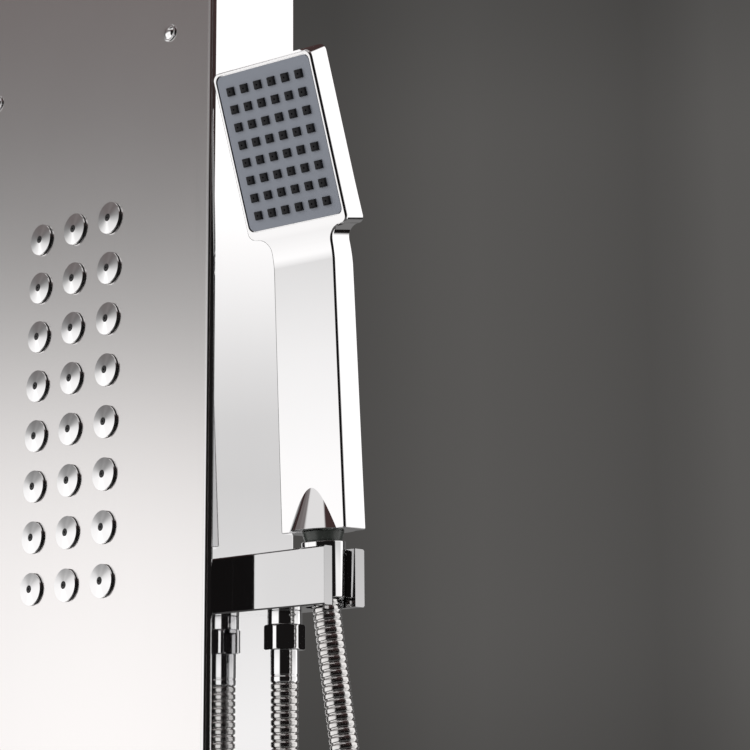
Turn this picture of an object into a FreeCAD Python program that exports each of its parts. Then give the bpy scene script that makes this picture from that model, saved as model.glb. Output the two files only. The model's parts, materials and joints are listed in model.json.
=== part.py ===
import FreeCAD, Part
import math
import os

# Wall-mounted shower panel column: a folded stainless column with body jets, a mixer, a
# diverter, a rain head on an arm, and a hand shower in a side bracket with its hose.
# Millimetres. X to the right, front towards -Y, the wall is the plane Y = 0, +Z up.
# The origin is the middle of the upper wall bracket's screw pattern, on the wall.

V = FreeCAD.Vector
X_AXIS, Y_AXIS, Z_AXIS = V(1, 0, 0), V(0, 1, 0), V(0, 0, 1)

# ---- clearances -------------------------------------------------------------------------
seat_gap = 0.2            # between a piece and the piece it sits in
running_gap = 0.08        # radial, where a shaft turns in a hole
turn_gap = 0.4            # between faces that turn past each other

# ---- column -----------------------------------------------------------------------------
column_width = 236.0
column_depth = 65.0
column_height = 1500.0
top_above_origin = 150.0
sheet = 1.2
bend_radius = 2.0
rear_return = 18.0        # the sheet's edge, turned in at the back
end_plate_lip = 14.0

# ---- wall brackets ----------------------------------------------------------------------
hanger_width = 180.0
hanger_height = 46.0
hanger_plate = 2.5
hanger_screw_x = 140.0    # spacing of the wall screws
hanger_screw_z = 24.0
wall_screw_hole = 3.1     # radius
hook_rise = 9.0
hook_stand_off = 6.0
foot_bracket_width = 120.0
foot_bracket_height = 30.0
foot_bracket_depth = 34.0
foot_screw_x = 80.0
foot_pin_radius = 2.5

# ---- body jets --------------------------------------------------------------------------
jet_columns = 3
jet_rows = 8
jet_pitch_x = 32.0
jet_pitch_z = 30.0
top_jet_z = -340.0
jet_radius = 9.25
jet_rim = 0.8
jet_dome = 1.8            # rise of the dome above its rim
jet_tip_radius = 1.4
jet_tip_stand = 0.35
jet_stem_radius = 5.0
manifold_channel = 18.0   # width of one water channel
manifold_front = 15.0     # from the column's front face to the manifold's
manifold_thickness = 14.0
manifold_feed_length = 12.0
manifold_over = 15.0      # channels beyond the outer jets
carrier_sheet = 1.5
carrier_screw_from_side = 36.0   # of the domed screws, from the column's side
carrier_screw_over = 100.0   # beyond the first and the last row of jets
carrier_margin = 9.0
screw_head_radius = 4.4
screw_head_height = 2.4
screw_shank_radius = 2.0
standoff_radius = 4.5

# ---- side bracket that holds the hand shower and feeds its hose --------------------------
bracket_reach = 67.5
bracket_size = 30.0       # square section
bracket_edge = 0.8        # chamfer of its edges
bracket_from_wall = 31.5
bracket_z = -557.0
gasket_thickness = 1.0
bracket_spigot_radius = 8.0
bracket_spigot_length = 9.0
bracket_water_radius = 5.3
bracket_feed_radius = 5.0
bracket_nut_across = 22.0
bracket_nut_height = 6.0
socket_from_side = 54.0   # of the hand shower's socket, from the column's side
socket_from_wall = 32.0
socket_mouth = 17.2
socket_gap = 0.3
socket_lean = 2.8         # degrees, the top leans towards the room

# ---- outlet under the bracket -----------------------------------------------------------
outlet_from_side = 24.0
outlet_collar_radius = 9.25
outlet_collar_height = 7.3
outlet_nut_across = 20.0
outlet_nut_height = 13.0
outlet_thread_radius = 8.33   # G3/8
outlet_nut_turn = 47.6    # degrees, of a corner from the X axis
ferrule_radius = 7.6
ferrule_length = 17.0

# ---- hose -------------------------------------------------------------------------------
hose_radius = 7.4
hose_root_radius = 6.6
hose_bore_radius = 4.2
hose_ribs = 60
hose_arc_share = 0.45     # of the shorter run, taken by an arc

# ---- conical nut on the hose's other end -------------------------------------------------
cone_top_radius = 11.6
cone_bottom_radius = 10.3
cone_top = 18.6           # above the bracket's middle, along the socket's axis
cone_length = 28.8
cone_mouth_radius = 8.9
cone_mouth_depth = 6.6
hose_end_tilt = 9.0       # degrees, the hose leaves the nut towards the right
hose_end_ferrule_radius = 7.8
hose_end_ferrule_length = 6.0
hose_end_reach = 1.0      # of the ferrule below the nut
hose_end_run = 34.0       # straight below the ferrule

# ---- hand shower ------------------------------------------------------------------------
handset_turn = 9.6        # degrees, to the right
inlet_ring_height = 5.0
inlet_ring_top_radius = 11.2
inlet_ring_bottom_radius = 9.6
inlet_thread_radius = 9.3
inlet_thread_length = 11.0
inlet_tube_radius = 6.5   # the upper end, in the handle
handle_width = 40.0
handle_top_width = 38.8
handle_thickness = 19.2
handle_top_thickness = 18.2
handle_length = 160.5
handle_edge = 1.6         # rounding
head_width = 63.2
head_height = 88.8
head_thickness = 16.6
head_bend = 18.6          # degrees, the head leans further than the handle
head_step = 3.2           # the head's face stands in front of the handle's
head_corner = 5.0
shoulder_radius = 9.0
foot_cone_radius = 17.6   # of the round foot that swells out of the handle's faces
foot_cone_height = 22.6   # where it has sunk into the handle's front
handle_bore_radius = 5.5
plate_margin = 1.6
plate_bottom_margin = 2.6
plate_thickness = 2.0
plate_recess = 0.4        # the spray plate lies a little below the frame
plate_corner = 3.6
chamber_depth = 8.0
stud_columns = 6
stud_rows = 8
stud_pitch_x = 8.85
stud_pitch_z = 9.6
stud_size = 3.1
stud_stand = 0.5

# ---- rain head and its arm ---------------------------------------------------------------
arm_width = 30.0
arm_thickness = 20.0
arm_wall = 1.5
arm_rise = 120.0          # of the arm's axis above the column
arm_reach = 330.0         # from the riser's axis to the ball
flange_size = 52.0
flange_thickness = 6.0
arm_nut_across = 32.0
arm_nut_height = 7.0
arm_spigot_radius = 10.4
arm_spigot_length = 22.0  # below the column's top
ball_radius = 10.0
ball_neck_radius = 5.5
ball_below_arm = 30.0
ball_seat = 1.5           # thickness of the seats round the ball
ball_nut_radius = 16.0
ball_lip_low = 3.2
ball_lip_top = 5.6
rain_size = 230.0
rain_thickness = 8.0
rain_corner = 10.0
rain_below_ball = 16.0
rain_nozzle_count = 7     # each way
rain_nozzle_pitch = 28.0
rain_nozzle_size = 4.0
rain_nozzle_stand = 1.6

# ---- mixer and diverter ------------------------------------------------------------------
diverter_z = -760.0
mixer_z = -880.0
valve_plate_size = 62.0
valve_plate_thickness = 5.0
valve_body_radius = 22.0
valve_body_depth = 46.0
cartridge_radius = 16.0
valve_stem_radius = 5.0
turret_radius = 21.0
turret_height = 17.0
lever_width = 22.0
lever_length = 78.0
lever_thickness = 7.0
lever_pivot_height = 10.0    # above the plate
lever_pin_radius = 2.0
knob_size = 40.0
knob_height = 24.0
inlet_spacing = 120.0
inlet_pipe_radius = 8.0
elbow_size = 20.0
inlet_pin_radius = 10.475    # G1/2
inlet_pin_length = 14.0
inlet_neck = 5.0
pipe_radius = 7.0
pipe_bend = 16.0
bracket_feed_bend = 9.0

# ---- derived places ----------------------------------------------------------------------
side_x = column_width / 2
front_y = -column_depth
top_z = top_above_origin
bottom_z = top_z - column_height
inner_side_x = side_x - sheet
carrier_screw_x = side_x - carrier_screw_from_side
inner_front_y = front_y + sheet
bracket_y = -bracket_from_wall
bracket_start_x = side_x + gasket_thickness
bracket_end_x = side_x + bracket_reach
bracket_bottom_z = bracket_z - bracket_size / 2
outlet_x = side_x + outlet_from_side
socket_x = side_x + socket_from_side
socket_y = -socket_from_wall
last_jet_z = top_jet_z - (jet_rows - 1) * jet_pitch_z
manifold_y = front_y + manifold_front
carrier_y = manifold_y + manifold_thickness
manifold_foot_z = last_jet_z - manifold_over - manifold_feed_length
valve_front_y = front_y - valve_plate_thickness
pipe_y = (manifold_y + carrier_y) / 2
stub_reach = valve_body_radius + 8
arm_y = -column_depth / 2
arm_spigot_foot_z = top_z - arm_spigot_length
arm_axis_z = top_z + arm_rise
ball_y = arm_y - arm_reach
ball_z = arm_axis_z - arm_thickness / 2 - ball_below_arm


def block(x0, x1, y0, y1, z0, z1):
    return Part.makeBox(x1 - x0, y1 - y0, z1 - z0, V(x0, y0, z0))


def centred_block(width, depth, height, centre):
    corner = centre - V(width / 2, depth / 2, height / 2)
    return Part.makeBox(width, depth, height, corner)


def rod(radius, height, base, direction=Z_AXIS):
    return Part.makeCylinder(radius, height, base, direction)


def cone(radius_low, radius_high, height, base, direction=Z_AXIS):
    return Part.makeCone(radius_low, radius_high, height, base, direction)


def hexagon(across, height, base, direction=Z_AXIS, turn=0.0):
    """A hexagonal prism on base, along direction."""
    corner = across / math.sqrt(3)
    points = [V(corner * math.cos(math.radians(turn + 60 * i)),
                corner * math.sin(math.radians(turn + 60 * i)), 0) for i in range(7)]
    prism = Part.Face(Part.makePolygon(points)).extrude(V(0, 0, height))
    prism.Placement = FreeCAD.Placement(base, FreeCAD.Rotation(Z_AXIS, direction))
    return prism


def edges_along(shape, axis, test=lambda middle: True):
    """The straight edges of shape along axis whose middle passes the test."""
    found = []
    for edge in shape.Edges:
        if not isinstance(edge.Curve, Part.Line):
            continue
        along = (edge.Vertexes[1].Point - edge.Vertexes[0].Point).normalize()
        if abs(abs(along.dot(axis)) - 1) < 1e-6 and test(edge.CenterOfMass):
            found.append(edge)
    return found


def rounded_block(x0, x1, y0, y1, z0, z1, radius, axis):
    solid = block(x0, x1, y0, y1, z0, z1)
    return solid.makeFillet(radius, edges_along(solid, axis))


def revolve(points, base, direction=Z_AXIS):
    """Turn an outline of (radius, height) points round the axis at base."""
    outline = Part.makePolygon([V(r, 0, h) for r, h in points + points[:1]])
    solid = Part.Face(outline).revolve(V(0, 0, 0), Z_AXIS, 360)
    solid.Placement = FreeCAD.Placement(base, FreeCAD.Rotation(Z_AXIS, direction))
    return solid


def turned(shape, centre, axis, degrees):
    copy = shape.copy()
    copy.rotate(centre, axis, degrees)
    return copy


def rounded_path(points, trim_of):
    """Straight runs joined by tangent arcs, as edges, with the arcs' radii."""
    edges, radii, start = [], [], points[0]
    for before, corner, after in zip(points, points[1:], points[2:]):
        into, out = corner - before, after - corner
        half_turn = into.getAngle(out) / 2
        trim = trim_of(min(into.Length, out.Length), half_turn)
        into.normalize()
        out.normalize()
        radius = trim / math.tan(half_turn)
        bisector = (out - into).normalize()
        middle = corner + bisector * (radius / math.cos(half_turn) - radius)
        arc_start, arc_end = corner - into * trim, corner + out * trim
        edges.append(Part.LineSegment(start, arc_start).toShape())
        edges.append(Part.Arc(arc_start, middle, arc_end).toShape())
        radii.append(radius)
        start = arc_end
    edges.append(Part.LineSegment(start, points[-1]).toShape())
    return edges, radii


def tube_along(edges, start, direction, radius):
    """A solid round rod along a chain of edges."""
    profile = Part.Wire(Part.makeCircle(radius, start, direction))
    return Part.Wire(edges).makePipeShell([profile], True, False)


def bent_pipe(points, radius, bend):
    """A solid round pipe whose corners are all bent to one radius."""
    edges, _ = rounded_path(points, lambda run, half_turn: bend * math.tan(half_turn))
    return tube_along(edges, points[0], points[1] - points[0], radius)


# ---- column ------------------------------------------------------------------------------
def jet_places():
    first_x = -(jet_columns - 1) / 2 * jet_pitch_x
    for column in range(jet_columns):
        for row in range(jet_rows):
            yield first_x + column * jet_pitch_x, top_jet_z - row * jet_pitch_z


def carrier_screw_places():
    for x in (-carrier_screw_x, carrier_screw_x):
        for z in (top_jet_z + carrier_screw_over, last_jet_z - carrier_screw_over):
            yield x, z


def column_shell():
    outer = rounded_block(-side_x, side_x, front_y, 0, bottom_z, top_z, bend_radius, Z_AXIS)
    inner = rounded_block(-inner_side_x, inner_side_x, inner_front_y, -sheet,
                          bottom_z, top_z, bend_radius - sheet, Z_AXIS)
    back = block(-side_x + rear_return, side_x - rear_return, -2 * sheet, sheet,
                 bottom_z, top_z)
    holes = [rod(jet_stem_radius + seat_gap, 2 * sheet, V(x, front_y - sheet / 2, z), Y_AXIS)
             for x, z in jet_places()]
    holes += [rod(screw_shank_radius + seat_gap, 2 * sheet, V(x, front_y - sheet / 2, z), Y_AXIS)
              for x, z in carrier_screw_places()]
    holes += [rod(cartridge_radius + seat_gap, 2 * sheet, V(0, front_y - sheet / 2, z), Y_AXIS)
              for z in (mixer_z, diverter_z)]
    holes.append(rod(bracket_spigot_radius + seat_gap, 2 * sheet,
                     V(side_x - 1.5 * sheet, bracket_y, bracket_z), X_AXIS))
    return outer.cut([inner, back] + holes)


def end_pan(z_outside, inwards):
    """A shallow folded pan that closes one end of the column."""
    gap = seat_gap
    z_inside = z_outside + inwards * end_plate_lip
    low, high = sorted((z_outside, z_inside))
    pan = rounded_block(-inner_side_x + gap, inner_side_x - gap, inner_front_y + gap,
                        -sheet - gap, low, high, bend_radius - sheet, Z_AXIS)
    hollow_low = low + (sheet if inwards > 0 else -sheet)
    hollow_high = high + (sheet if inwards > 0 else -sheet)
    hollow = block(-inner_side_x + gap + sheet, inner_side_x - gap - sheet,
                   inner_front_y + gap + sheet, 0, hollow_low, hollow_high)
    return pan.cut(hollow)


def top_pan():
    hole = rod(arm_spigot_radius + seat_gap, 3 * sheet, V(0, arm_y, top_z - 2 * sheet))
    return end_pan(top_z, -1).cut(hole)


def bottom_pan():
    holes = [rod(foot_pin_radius + seat_gap, 3 * sheet,
                 V(x, -foot_bracket_depth + foot_pin_radius * 3, bottom_z - sheet))
             for x in (-foot_screw_x / 2, foot_screw_x / 2)]
    return end_pan(bottom_z, 1).cut(holes)


# ---- wall brackets -----------------------------------------------------------------------
def wall_hanger():
    """A plate for four wall screws, with its top edge folded out and up into a hook."""
    half, high = hanger_width / 2, hanger_height / 2
    step = hook_stand_off + hanger_plate
    plate = block(-half, half, -hanger_plate, 0, -high, high)
    shelf = block(-half, half, -step - hanger_plate, 0, high - hanger_plate, high)
    hook = block(-half, half, -step - hanger_plate, -step, high - hanger_plate, high + hook_rise)
    holes = [rod(wall_screw_hole, 3 * hanger_plate, V(x, -2 * hanger_plate, z), Y_AXIS)
             for x in (-hanger_screw_x / 2, hanger_screw_x / 2)
             for z in (-hanger_screw_z / 2, hanger_screw_z / 2)]
    return plate.fuse([shelf, hook]).removeSplitter().cut(holes)


def hanger_crossbar():
    """The column's own strip, which drops behind the wall hanger's hook."""
    shelf_z = hanger_height / 2 + seat_gap
    hook_back = -(hook_stand_off + hanger_plate)
    hook_front = hook_back - hanger_plate
    bar_back = hook_back + seat_gap
    drop = block(-inner_side_x + rear_return, inner_side_x - rear_return, bar_back,
                 bar_back + sheet * 2, shelf_z, shelf_z + hook_rise + 3)
    roof = block(-inner_side_x + seat_gap, inner_side_x - seat_gap, hook_front - 4 * sheet,
                 bar_back + sheet * 2, shelf_z + hook_rise + 3, shelf_z + hook_rise + 3 + sheet * 2)
    face = block(-inner_side_x + seat_gap, inner_side_x - seat_gap, hook_front - 4 * sheet,
                 hook_front - 2 * sheet, shelf_z - 6, shelf_z + hook_rise + 3)
    return drop.fuse([roof, face]).removeSplitter()


def foot_bracket():
    """A low angle on the wall with two upright pins that the column's bottom drops onto."""
    half = foot_bracket_width / 2
    low = bottom_z - hanger_plate - seat_gap
    wall_leg = block(-half, half, -hanger_plate, 0, low - foot_bracket_height, low + hanger_plate)
    shelf = block(-half, half, -foot_bracket_depth, 0, low, low + hanger_plate)
    pins = [rod(foot_pin_radius, 8, V(x, -foot_bracket_depth + foot_pin_radius * 3, low))
            for x in (-foot_screw_x / 2, foot_screw_x / 2)]
    holes = [rod(wall_screw_hole, 3 * hanger_plate,
                 V(x, -2 * hanger_plate, low - foot_bracket_height / 2), Y_AXIS)
             for x in (-foot_screw_x / 2, foot_screw_x / 2)]
    return wall_leg.fuse([shelf] + pins).removeSplitter().cut(holes)


# ---- body jets ---------------------------------------------------------------------------
def jet_bodies():
    """Round domed faces on hollow stems that reach the manifold."""
    stem = manifold_front
    dome = (jet_radius ** 2 + jet_dome ** 2) / (2 * jet_dome)
    ball = Part.makeSphere(dome, V(0, 0, jet_rim + jet_dome - dome))
    face = rod(jet_radius, jet_rim + jet_dome, V(0, 0, 0)).common(ball)
    body = face.fuse(rod(jet_stem_radius, stem, V(0, 0, -stem)))
    body = body.cut(rod(jet_tip_radius + seat_gap / 2, 4 * stem, V(0, 0, -2 * stem)))
    body.Placement = FreeCAD.Placement(V(0, 0, 0), FreeCAD.Rotation(Z_AXIS, -Y_AXIS))
    return Part.makeCompound([body.translated(V(x, front_y, z)) for x, z in jet_places()])


def jet_tips():
    """Small soft nozzles, one through the middle of each jet."""
    length = manifold_front / 3
    top = front_y - jet_rim - jet_dome - jet_tip_stand
    return Part.makeCompound([rod(jet_tip_radius, length, V(x, top, z), Y_AXIS)
                              for x, z in jet_places()])


def jet_manifold():
    """Upright water channels behind the jets, joined across at both ends."""
    half = manifold_channel / 2
    low, high = last_jet_z - manifold_over, top_jet_z + manifold_over
    outer = (jet_columns - 1) / 2 * jet_pitch_x + half
    channels = [block(x - half, x + half, manifold_y, carrier_y, low, high)
                for x in sorted({x for x, _ in jet_places()})]
    for z in (low, high - manifold_channel):
        channels.append(block(-outer, outer, manifold_y, carrier_y, z, z + manifold_channel))
    feed = rod(manifold_thickness / 2, manifold_feed_length, V(0, pipe_y, manifold_foot_z))
    return channels[0].fuse(channels[1:] + [feed]).removeSplitter()


def carrier_plate():
    """The sheet that holds the manifold against the jets, with a window to save weight."""
    half = carrier_screw_x + carrier_margin
    low, high = (last_jet_z - carrier_screw_over - carrier_margin,
                 top_jet_z + carrier_screw_over + carrier_margin)
    plate = block(-half, half, carrier_y, carrier_y + carrier_sheet, low, high)
    window_x = (jet_columns - 1) / 2 * jet_pitch_x - jet_pitch_x / 2
    windows = [block(-window_x, window_x, carrier_y - 1, carrier_y + carrier_sheet + 1,
                     last_jet_z + jet_pitch_z, top_jet_z - jet_pitch_z)]
    holes = [rod(screw_shank_radius + seat_gap, 3 * carrier_sheet, V(x, carrier_y - carrier_sheet, z),
                 Y_AXIS) for x, z in carrier_screw_places()]
    return plate.cut(windows + holes)


def carrier_standoffs():
    length = carrier_y - inner_front_y
    posts = []
    for x, z in carrier_screw_places():
        post = rod(standoff_radius, length, V(x, inner_front_y, z), Y_AXIS)
        posts.append(post.cut(rod(screw_shank_radius + seat_gap / 2, length,
                                  V(x, inner_front_y, z), Y_AXIS)))
    return Part.makeCompound(posts)


def carrier_screws():
    """Domed screws that show on the column's face."""
    radius = (screw_head_radius ** 2 + screw_head_height ** 2) / (2 * screw_head_height)
    length = carrier_y + carrier_sheet - front_y + 3
    screws = []
    for x, z in carrier_screw_places():
        ball = Part.makeSphere(radius, V(x, front_y - screw_head_height + radius, z))
        head = ball.common(rod(screw_head_radius, screw_head_height,
                               V(x, front_y - screw_head_height, z), Y_AXIS))
        screws.append(head.fuse(rod(screw_shank_radius, length, V(x, front_y, z), Y_AXIS)))
    return Part.makeCompound(screws)


def carrier_nuts():
    nuts = []
    for x, z in carrier_screw_places():
        base = V(x, carrier_y + carrier_sheet, z)
        nut = hexagon(screw_shank_radius * 3.5, screw_shank_radius * 1.4, base, Y_AXIS)
        nuts.append(nut.cut(rod(screw_shank_radius + seat_gap / 2, column_depth,
                                V(x, front_y, z), Y_AXIS)))
    return Part.makeCompound(nuts)


# ---- side bracket ------------------------------------------------------------------------
socket_middle = V(socket_x, socket_y, bracket_z)
socket_axis = V(0, -math.sin(math.radians(socket_lean)), math.cos(math.radians(socket_lean)))


def on_socket(height):
    """The point on the socket's axis at a height above the bracket's middle."""
    return socket_middle + socket_axis * height


def cone_radius(height):
    """The conical nut's radius at a height above the bracket's middle."""
    slope = (cone_top_radius - cone_bottom_radius) / cone_length
    return cone_top_radius - slope * (cone_top - height)


def bracket_bar():
    """A square bar with a conical socket that is open to its end, and a water way."""
    half = bracket_size / 2
    bar = block(bracket_start_x, bracket_end_x, bracket_y - half, bracket_y + half,
                bracket_z - half, bracket_z + half)
    bar = bar.makeChamfer(bracket_edge, edges_along(bar, X_AXIS))
    reach = bracket_size * 0.7
    socket = cone(cone_radius(-reach) + socket_gap, cone_radius(reach) + socket_gap, 2 * reach,
                  on_socket(-reach), socket_axis)
    mouth = block(socket_x, bracket_end_x + 1, socket_y - socket_mouth / 2,
                  socket_y + socket_mouth / 2, bracket_z - bracket_size, bracket_z + bracket_size)
    spigot_end = V(bracket_start_x - bracket_spigot_length, bracket_y, bracket_z)
    spigot = rod(bracket_spigot_radius, bracket_spigot_length, spigot_end, X_AXIS)
    water = rod(bracket_water_radius, outlet_x - spigot_end.x, spigot_end, X_AXIS)
    drop = rod(bracket_water_radius, bracket_size, V(outlet_x, bracket_y, bracket_z - bracket_size))
    return bar.cut([socket, mouth]).fuse(spigot).removeSplitter().cut([water, drop])


def bracket_gasket():
    half = bracket_size / 2 - bracket_edge
    pad = block(side_x, bracket_start_x, bracket_y - half, bracket_y + half,
                bracket_z - half, bracket_z + half)
    return pad.cut(rod(bracket_spigot_radius + seat_gap, 3 * gasket_thickness,
                       V(side_x - gasket_thickness, bracket_y, bracket_z), X_AXIS))


def bracket_nut():
    """The nut inside the column that pulls the bracket against its side."""
    base = V(inner_side_x - bracket_nut_height, bracket_y, bracket_z)
    nut = hexagon(bracket_nut_across, bracket_nut_height, base, X_AXIS)
    return nut.cut(rod(bracket_spigot_radius + seat_gap / 2, 3 * bracket_nut_height,
                       base - X_AXIS * bracket_nut_height, X_AXIS))


collar_bottom_z = bracket_bottom_z - outlet_collar_height
outlet_nut_bottom_z = collar_bottom_z - outlet_nut_height
ferrule_bottom_z = outlet_nut_bottom_z - ferrule_length


def outlet_nipple():
    """The round collar under the bracket with its threaded end in the hose's nut."""
    collar = rod(outlet_collar_radius, outlet_collar_height, V(outlet_x, bracket_y, collar_bottom_z))
    thread = rod(outlet_thread_radius, outlet_nut_height * 0.6,
                 V(outlet_x, bracket_y, collar_bottom_z - outlet_nut_height * 0.6))
    bore = rod(bracket_water_radius, 3 * outlet_nut_height,
               V(outlet_x, bracket_y, collar_bottom_z - 2 * outlet_nut_height))
    return collar.fuse(thread).cut(bore)


def outlet_nut():
    nut = hexagon(outlet_nut_across, outlet_nut_height,
                  V(outlet_x, bracket_y, outlet_nut_bottom_z), Z_AXIS, outlet_nut_turn)
    thread = rod(outlet_thread_radius + seat_gap / 2, outlet_nut_height,
                 V(outlet_x, bracket_y, outlet_nut_bottom_z + outlet_nut_height * 0.3))
    bore = rod(hose_root_radius, outlet_nut_height, V(outlet_x, bracket_y, outlet_nut_bottom_z))
    return nut.cut([thread, bore])


def outlet_washer():
    low = outlet_nut_bottom_z + outlet_nut_height * 0.3
    ring = rod(outlet_thread_radius - 0.3, outlet_nut_height * 0.1, V(outlet_x, bracket_y, low))
    return ring.cut(rod(bracket_water_radius, outlet_nut_height, V(outlet_x, bracket_y, low - 1)))


def outlet_ferrule():
    """The crimped sleeve between the nut and the ribbed hose."""
    sleeve = revolve([(hose_bore_radius, 0), (ferrule_radius - 0.5, 0), (ferrule_radius, 0.8),
                      (ferrule_radius, ferrule_length), (hose_bore_radius, ferrule_length)],
                     V(outlet_x, bracket_y, ferrule_bottom_z))
    return sleeve


# ---- hose --------------------------------------------------------------------------------
hose_start = V(outlet_x, bracket_y, ferrule_bottom_z)
hose_end_direction = V(math.sin(math.radians(hose_end_tilt)), 0, -math.cos(math.radians(hose_end_tilt)))
cone_bottom = on_socket(cone_top - cone_length)
hose_end = cone_bottom + hose_end_direction * hose_end_reach

# The hanging loop, from its start under the bracket and then back from its end.
hose_points = [hose_start] + [hose_start + V(x, y, z) for x, y, z in (
    (0.0, 0.0, -30.0),
    (0.8, 0.2, -85.0),
    (-1.1, -1.0, -190.0),
    (-7.6, -3.5, -399.4),
    (-4.2, -5.5, -529.4),
    (15.6, -7.0, -609.0),
    (58.5, -8.0, -645.0),
    (113.4, -8.5, -648.8),
    (160.0, -8.5, -619.6),
    (181.0, -8.0, -567.7),
    (174.5, -7.0, -506.1),
    (147.8, -5.5, -409.7),
)] + [hose_end + V(x, y, z) for x, y, z in (
    (82.9, -3.5, -345.9),
    (41.5, -2.0, -201.7),
    (16.8, -0.6, -94.5),
)] + [hose_end + hose_end_direction * hose_end_run, hose_end]


def along(edges, count_at):
    """Points and directions at the given distances along a chain of edges."""
    found, passed, index = [], 0.0, 0
    for distance in count_at:
        while index < len(edges) - 1 and distance > passed + edges[index].Length:
            passed += edges[index].Length
            index += 1
        edge = edges[index]
        at = edge.getParameterByLength(min(max(distance - passed, 0), edge.Length))
        direction = edge.tangentAt(at)
        found.append((edge.valueAt(at), direction.normalize()))
    return found


def hose():
    """The ribbed metal hose, one unbroken tube with its bore."""
    edges, radii = rounded_path(hose_points, lambda run, half_turn: hose_arc_share * run)
    length = sum(edge.Length for edge in edges)
    print("hose: length", round(length), "bend radii", [round(r) for r in radii])
    straight = 2 * hose_radius
    pitch = (length - 2 * straight) / hose_ribs
    stations = [(0.0, hose_root_radius)]
    for rib in range(hose_ribs):
        start = straight + rib * pitch
        stations += [(start + 0.08 * pitch, hose_root_radius), (start + 0.22 * pitch, hose_radius),
                     (start + 0.78 * pitch, hose_radius), (start + 0.92 * pitch, hose_root_radius)]
    stations.append((length, hose_root_radius))
    circles = []
    for (point, direction), (_, radius) in zip(along(edges, [s for s, _ in stations]), stations):
        circle = Part.makeCircle(radius)
        across = Y_AXIS.cross(direction)
        circle.Placement = FreeCAD.Placement(point, FreeCAD.Rotation(across, V(), direction, "ZXY"))
        circles.append(Part.Wire(circle))
    skin = Part.makeLoft(circles, True, True)
    bore = tube_along(edges, hose_start, hose_points[1] - hose_start, hose_bore_radius)
    plain = math.pi * hose_bore_radius ** 2 * length
    print("hose: bore volume over section times length", round(bore.Volume / plain, 4))
    return skin.cut(bore)


# ---- hose end in the socket --------------------------------------------------------------
def cone_nut():
    """The conical nut that drops into the bracket's socket."""
    nut = cone(cone_bottom_radius, cone_top_radius, cone_length, cone_bottom, socket_axis)
    mouth = rod(cone_mouth_radius, cone_mouth_depth + 1, cone_bottom - socket_axis, socket_axis)
    thread = rod(inlet_thread_radius + running_gap, cone_length,
                 on_socket(cone_top - inlet_thread_length - 1), socket_axis)
    way = rod(hose_bore_radius, cone_length, cone_bottom, socket_axis)
    return nut.cut([mouth, thread, way])


def hose_end_ferrule():
    """The sleeve on the hose's end, held in the conical nut's mouth."""
    sleeve = rod(hose_end_ferrule_radius, hose_end_ferrule_length, hose_end, -hose_end_direction)
    return sleeve.cut(rod(hose_bore_radius, 3 * hose_end_ferrule_length,
                          hose_end + hose_end_direction, -hose_end_direction))


def cone_washer():
    low = on_socket(cone_top - inlet_thread_length - 1)
    ring = rod(inlet_thread_radius, 1 - seat_gap / 2, low, socket_axis)
    return ring.cut(rod(hose_bore_radius, 3, low - socket_axis, socket_axis))


# ---- hand shower -------------------------------------------------------------------------
# Its own frame: the inlet's axis is Z, the handle's bottom is Z = 0 and the front is -Y.
handset_base = on_socket(cone_top + inlet_ring_height + turn_gap)


def handset_placed(shape):
    """Put a solid of the hand shower's own frame into its bracket."""
    stand = FreeCAD.Rotation(X_AXIS, socket_lean)
    turn = FreeCAD.Rotation(Z_AXIS, handset_turn)
    copy = shape.copy()
    copy.Placement = FreeCAD.Placement(handset_base, stand.multiply(turn)).multiply(copy.Placement)
    return copy


def head_placed(shape):
    """Put a solid of the head's frame (face at Y = 0, bottom at Z = 0) on the handle."""
    copy = shape.copy()
    hinge = V(0, -handle_top_thickness / 2 - head_step, handle_length)
    copy.Placement = FreeCAD.Placement(hinge, FreeCAD.Rotation(X_AXIS, head_bend)).multiply(copy.Placement)
    return copy


def handle_section(width, thickness, z):
    points = [V(-width / 2, -thickness / 2, z), V(width / 2, -thickness / 2, z),
              V(width / 2, thickness / 2, z), V(-width / 2, thickness / 2, z)]
    return Part.makePolygon(points + points[:1])


def shoulders():
    """The two concave shoulders between the handle and the head, as one flat web."""
    r, top_w = shoulder_radius, handle_top_width / 2
    points = []
    for side in (-1, 1):
        centre = V(side * (top_w + r), 0, -r)
        corner = V(side * top_w, 0, -r)
        middle = centre + V(-side * r * math.cos(math.pi / 4), 0, r * math.sin(math.pi / 4))
        points.append((corner, middle, V(side * (top_w + r), 0, 0)))
    (left_low, left_mid, left_top), (right_low, right_mid, right_top) = points
    wire = Part.Wire([
        Part.Arc(left_low, left_mid, left_top).toShape(),
        Part.LineSegment(left_top, left_top + Z_AXIS * r).toShape(),
        Part.LineSegment(left_top + Z_AXIS * r, right_top + Z_AXIS * r).toShape(),
        Part.LineSegment(right_top + Z_AXIS * r, right_top).toShape(),
        Part.Arc(right_top, right_mid, right_low).toShape(),
        Part.LineSegment(right_low, left_low).toShape(),
    ])
    depth = handle_top_thickness - 2 * handle_edge
    web = Part.Face(wire).extrude(V(0, depth, 0))
    return web.translated(V(0, -depth / 2, handle_length))


def spray_pocket(margin, depth, from_face):
    """The rectangular space of the spray plate, in the head's frame."""
    half = head_width / 2 - plate_margin - margin
    return rounded_block(-half, half, from_face, from_face + depth,
                         plate_bottom_margin + margin, head_height - plate_margin - margin,
                         plate_corner - margin / 2, Y_AXIS)


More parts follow.
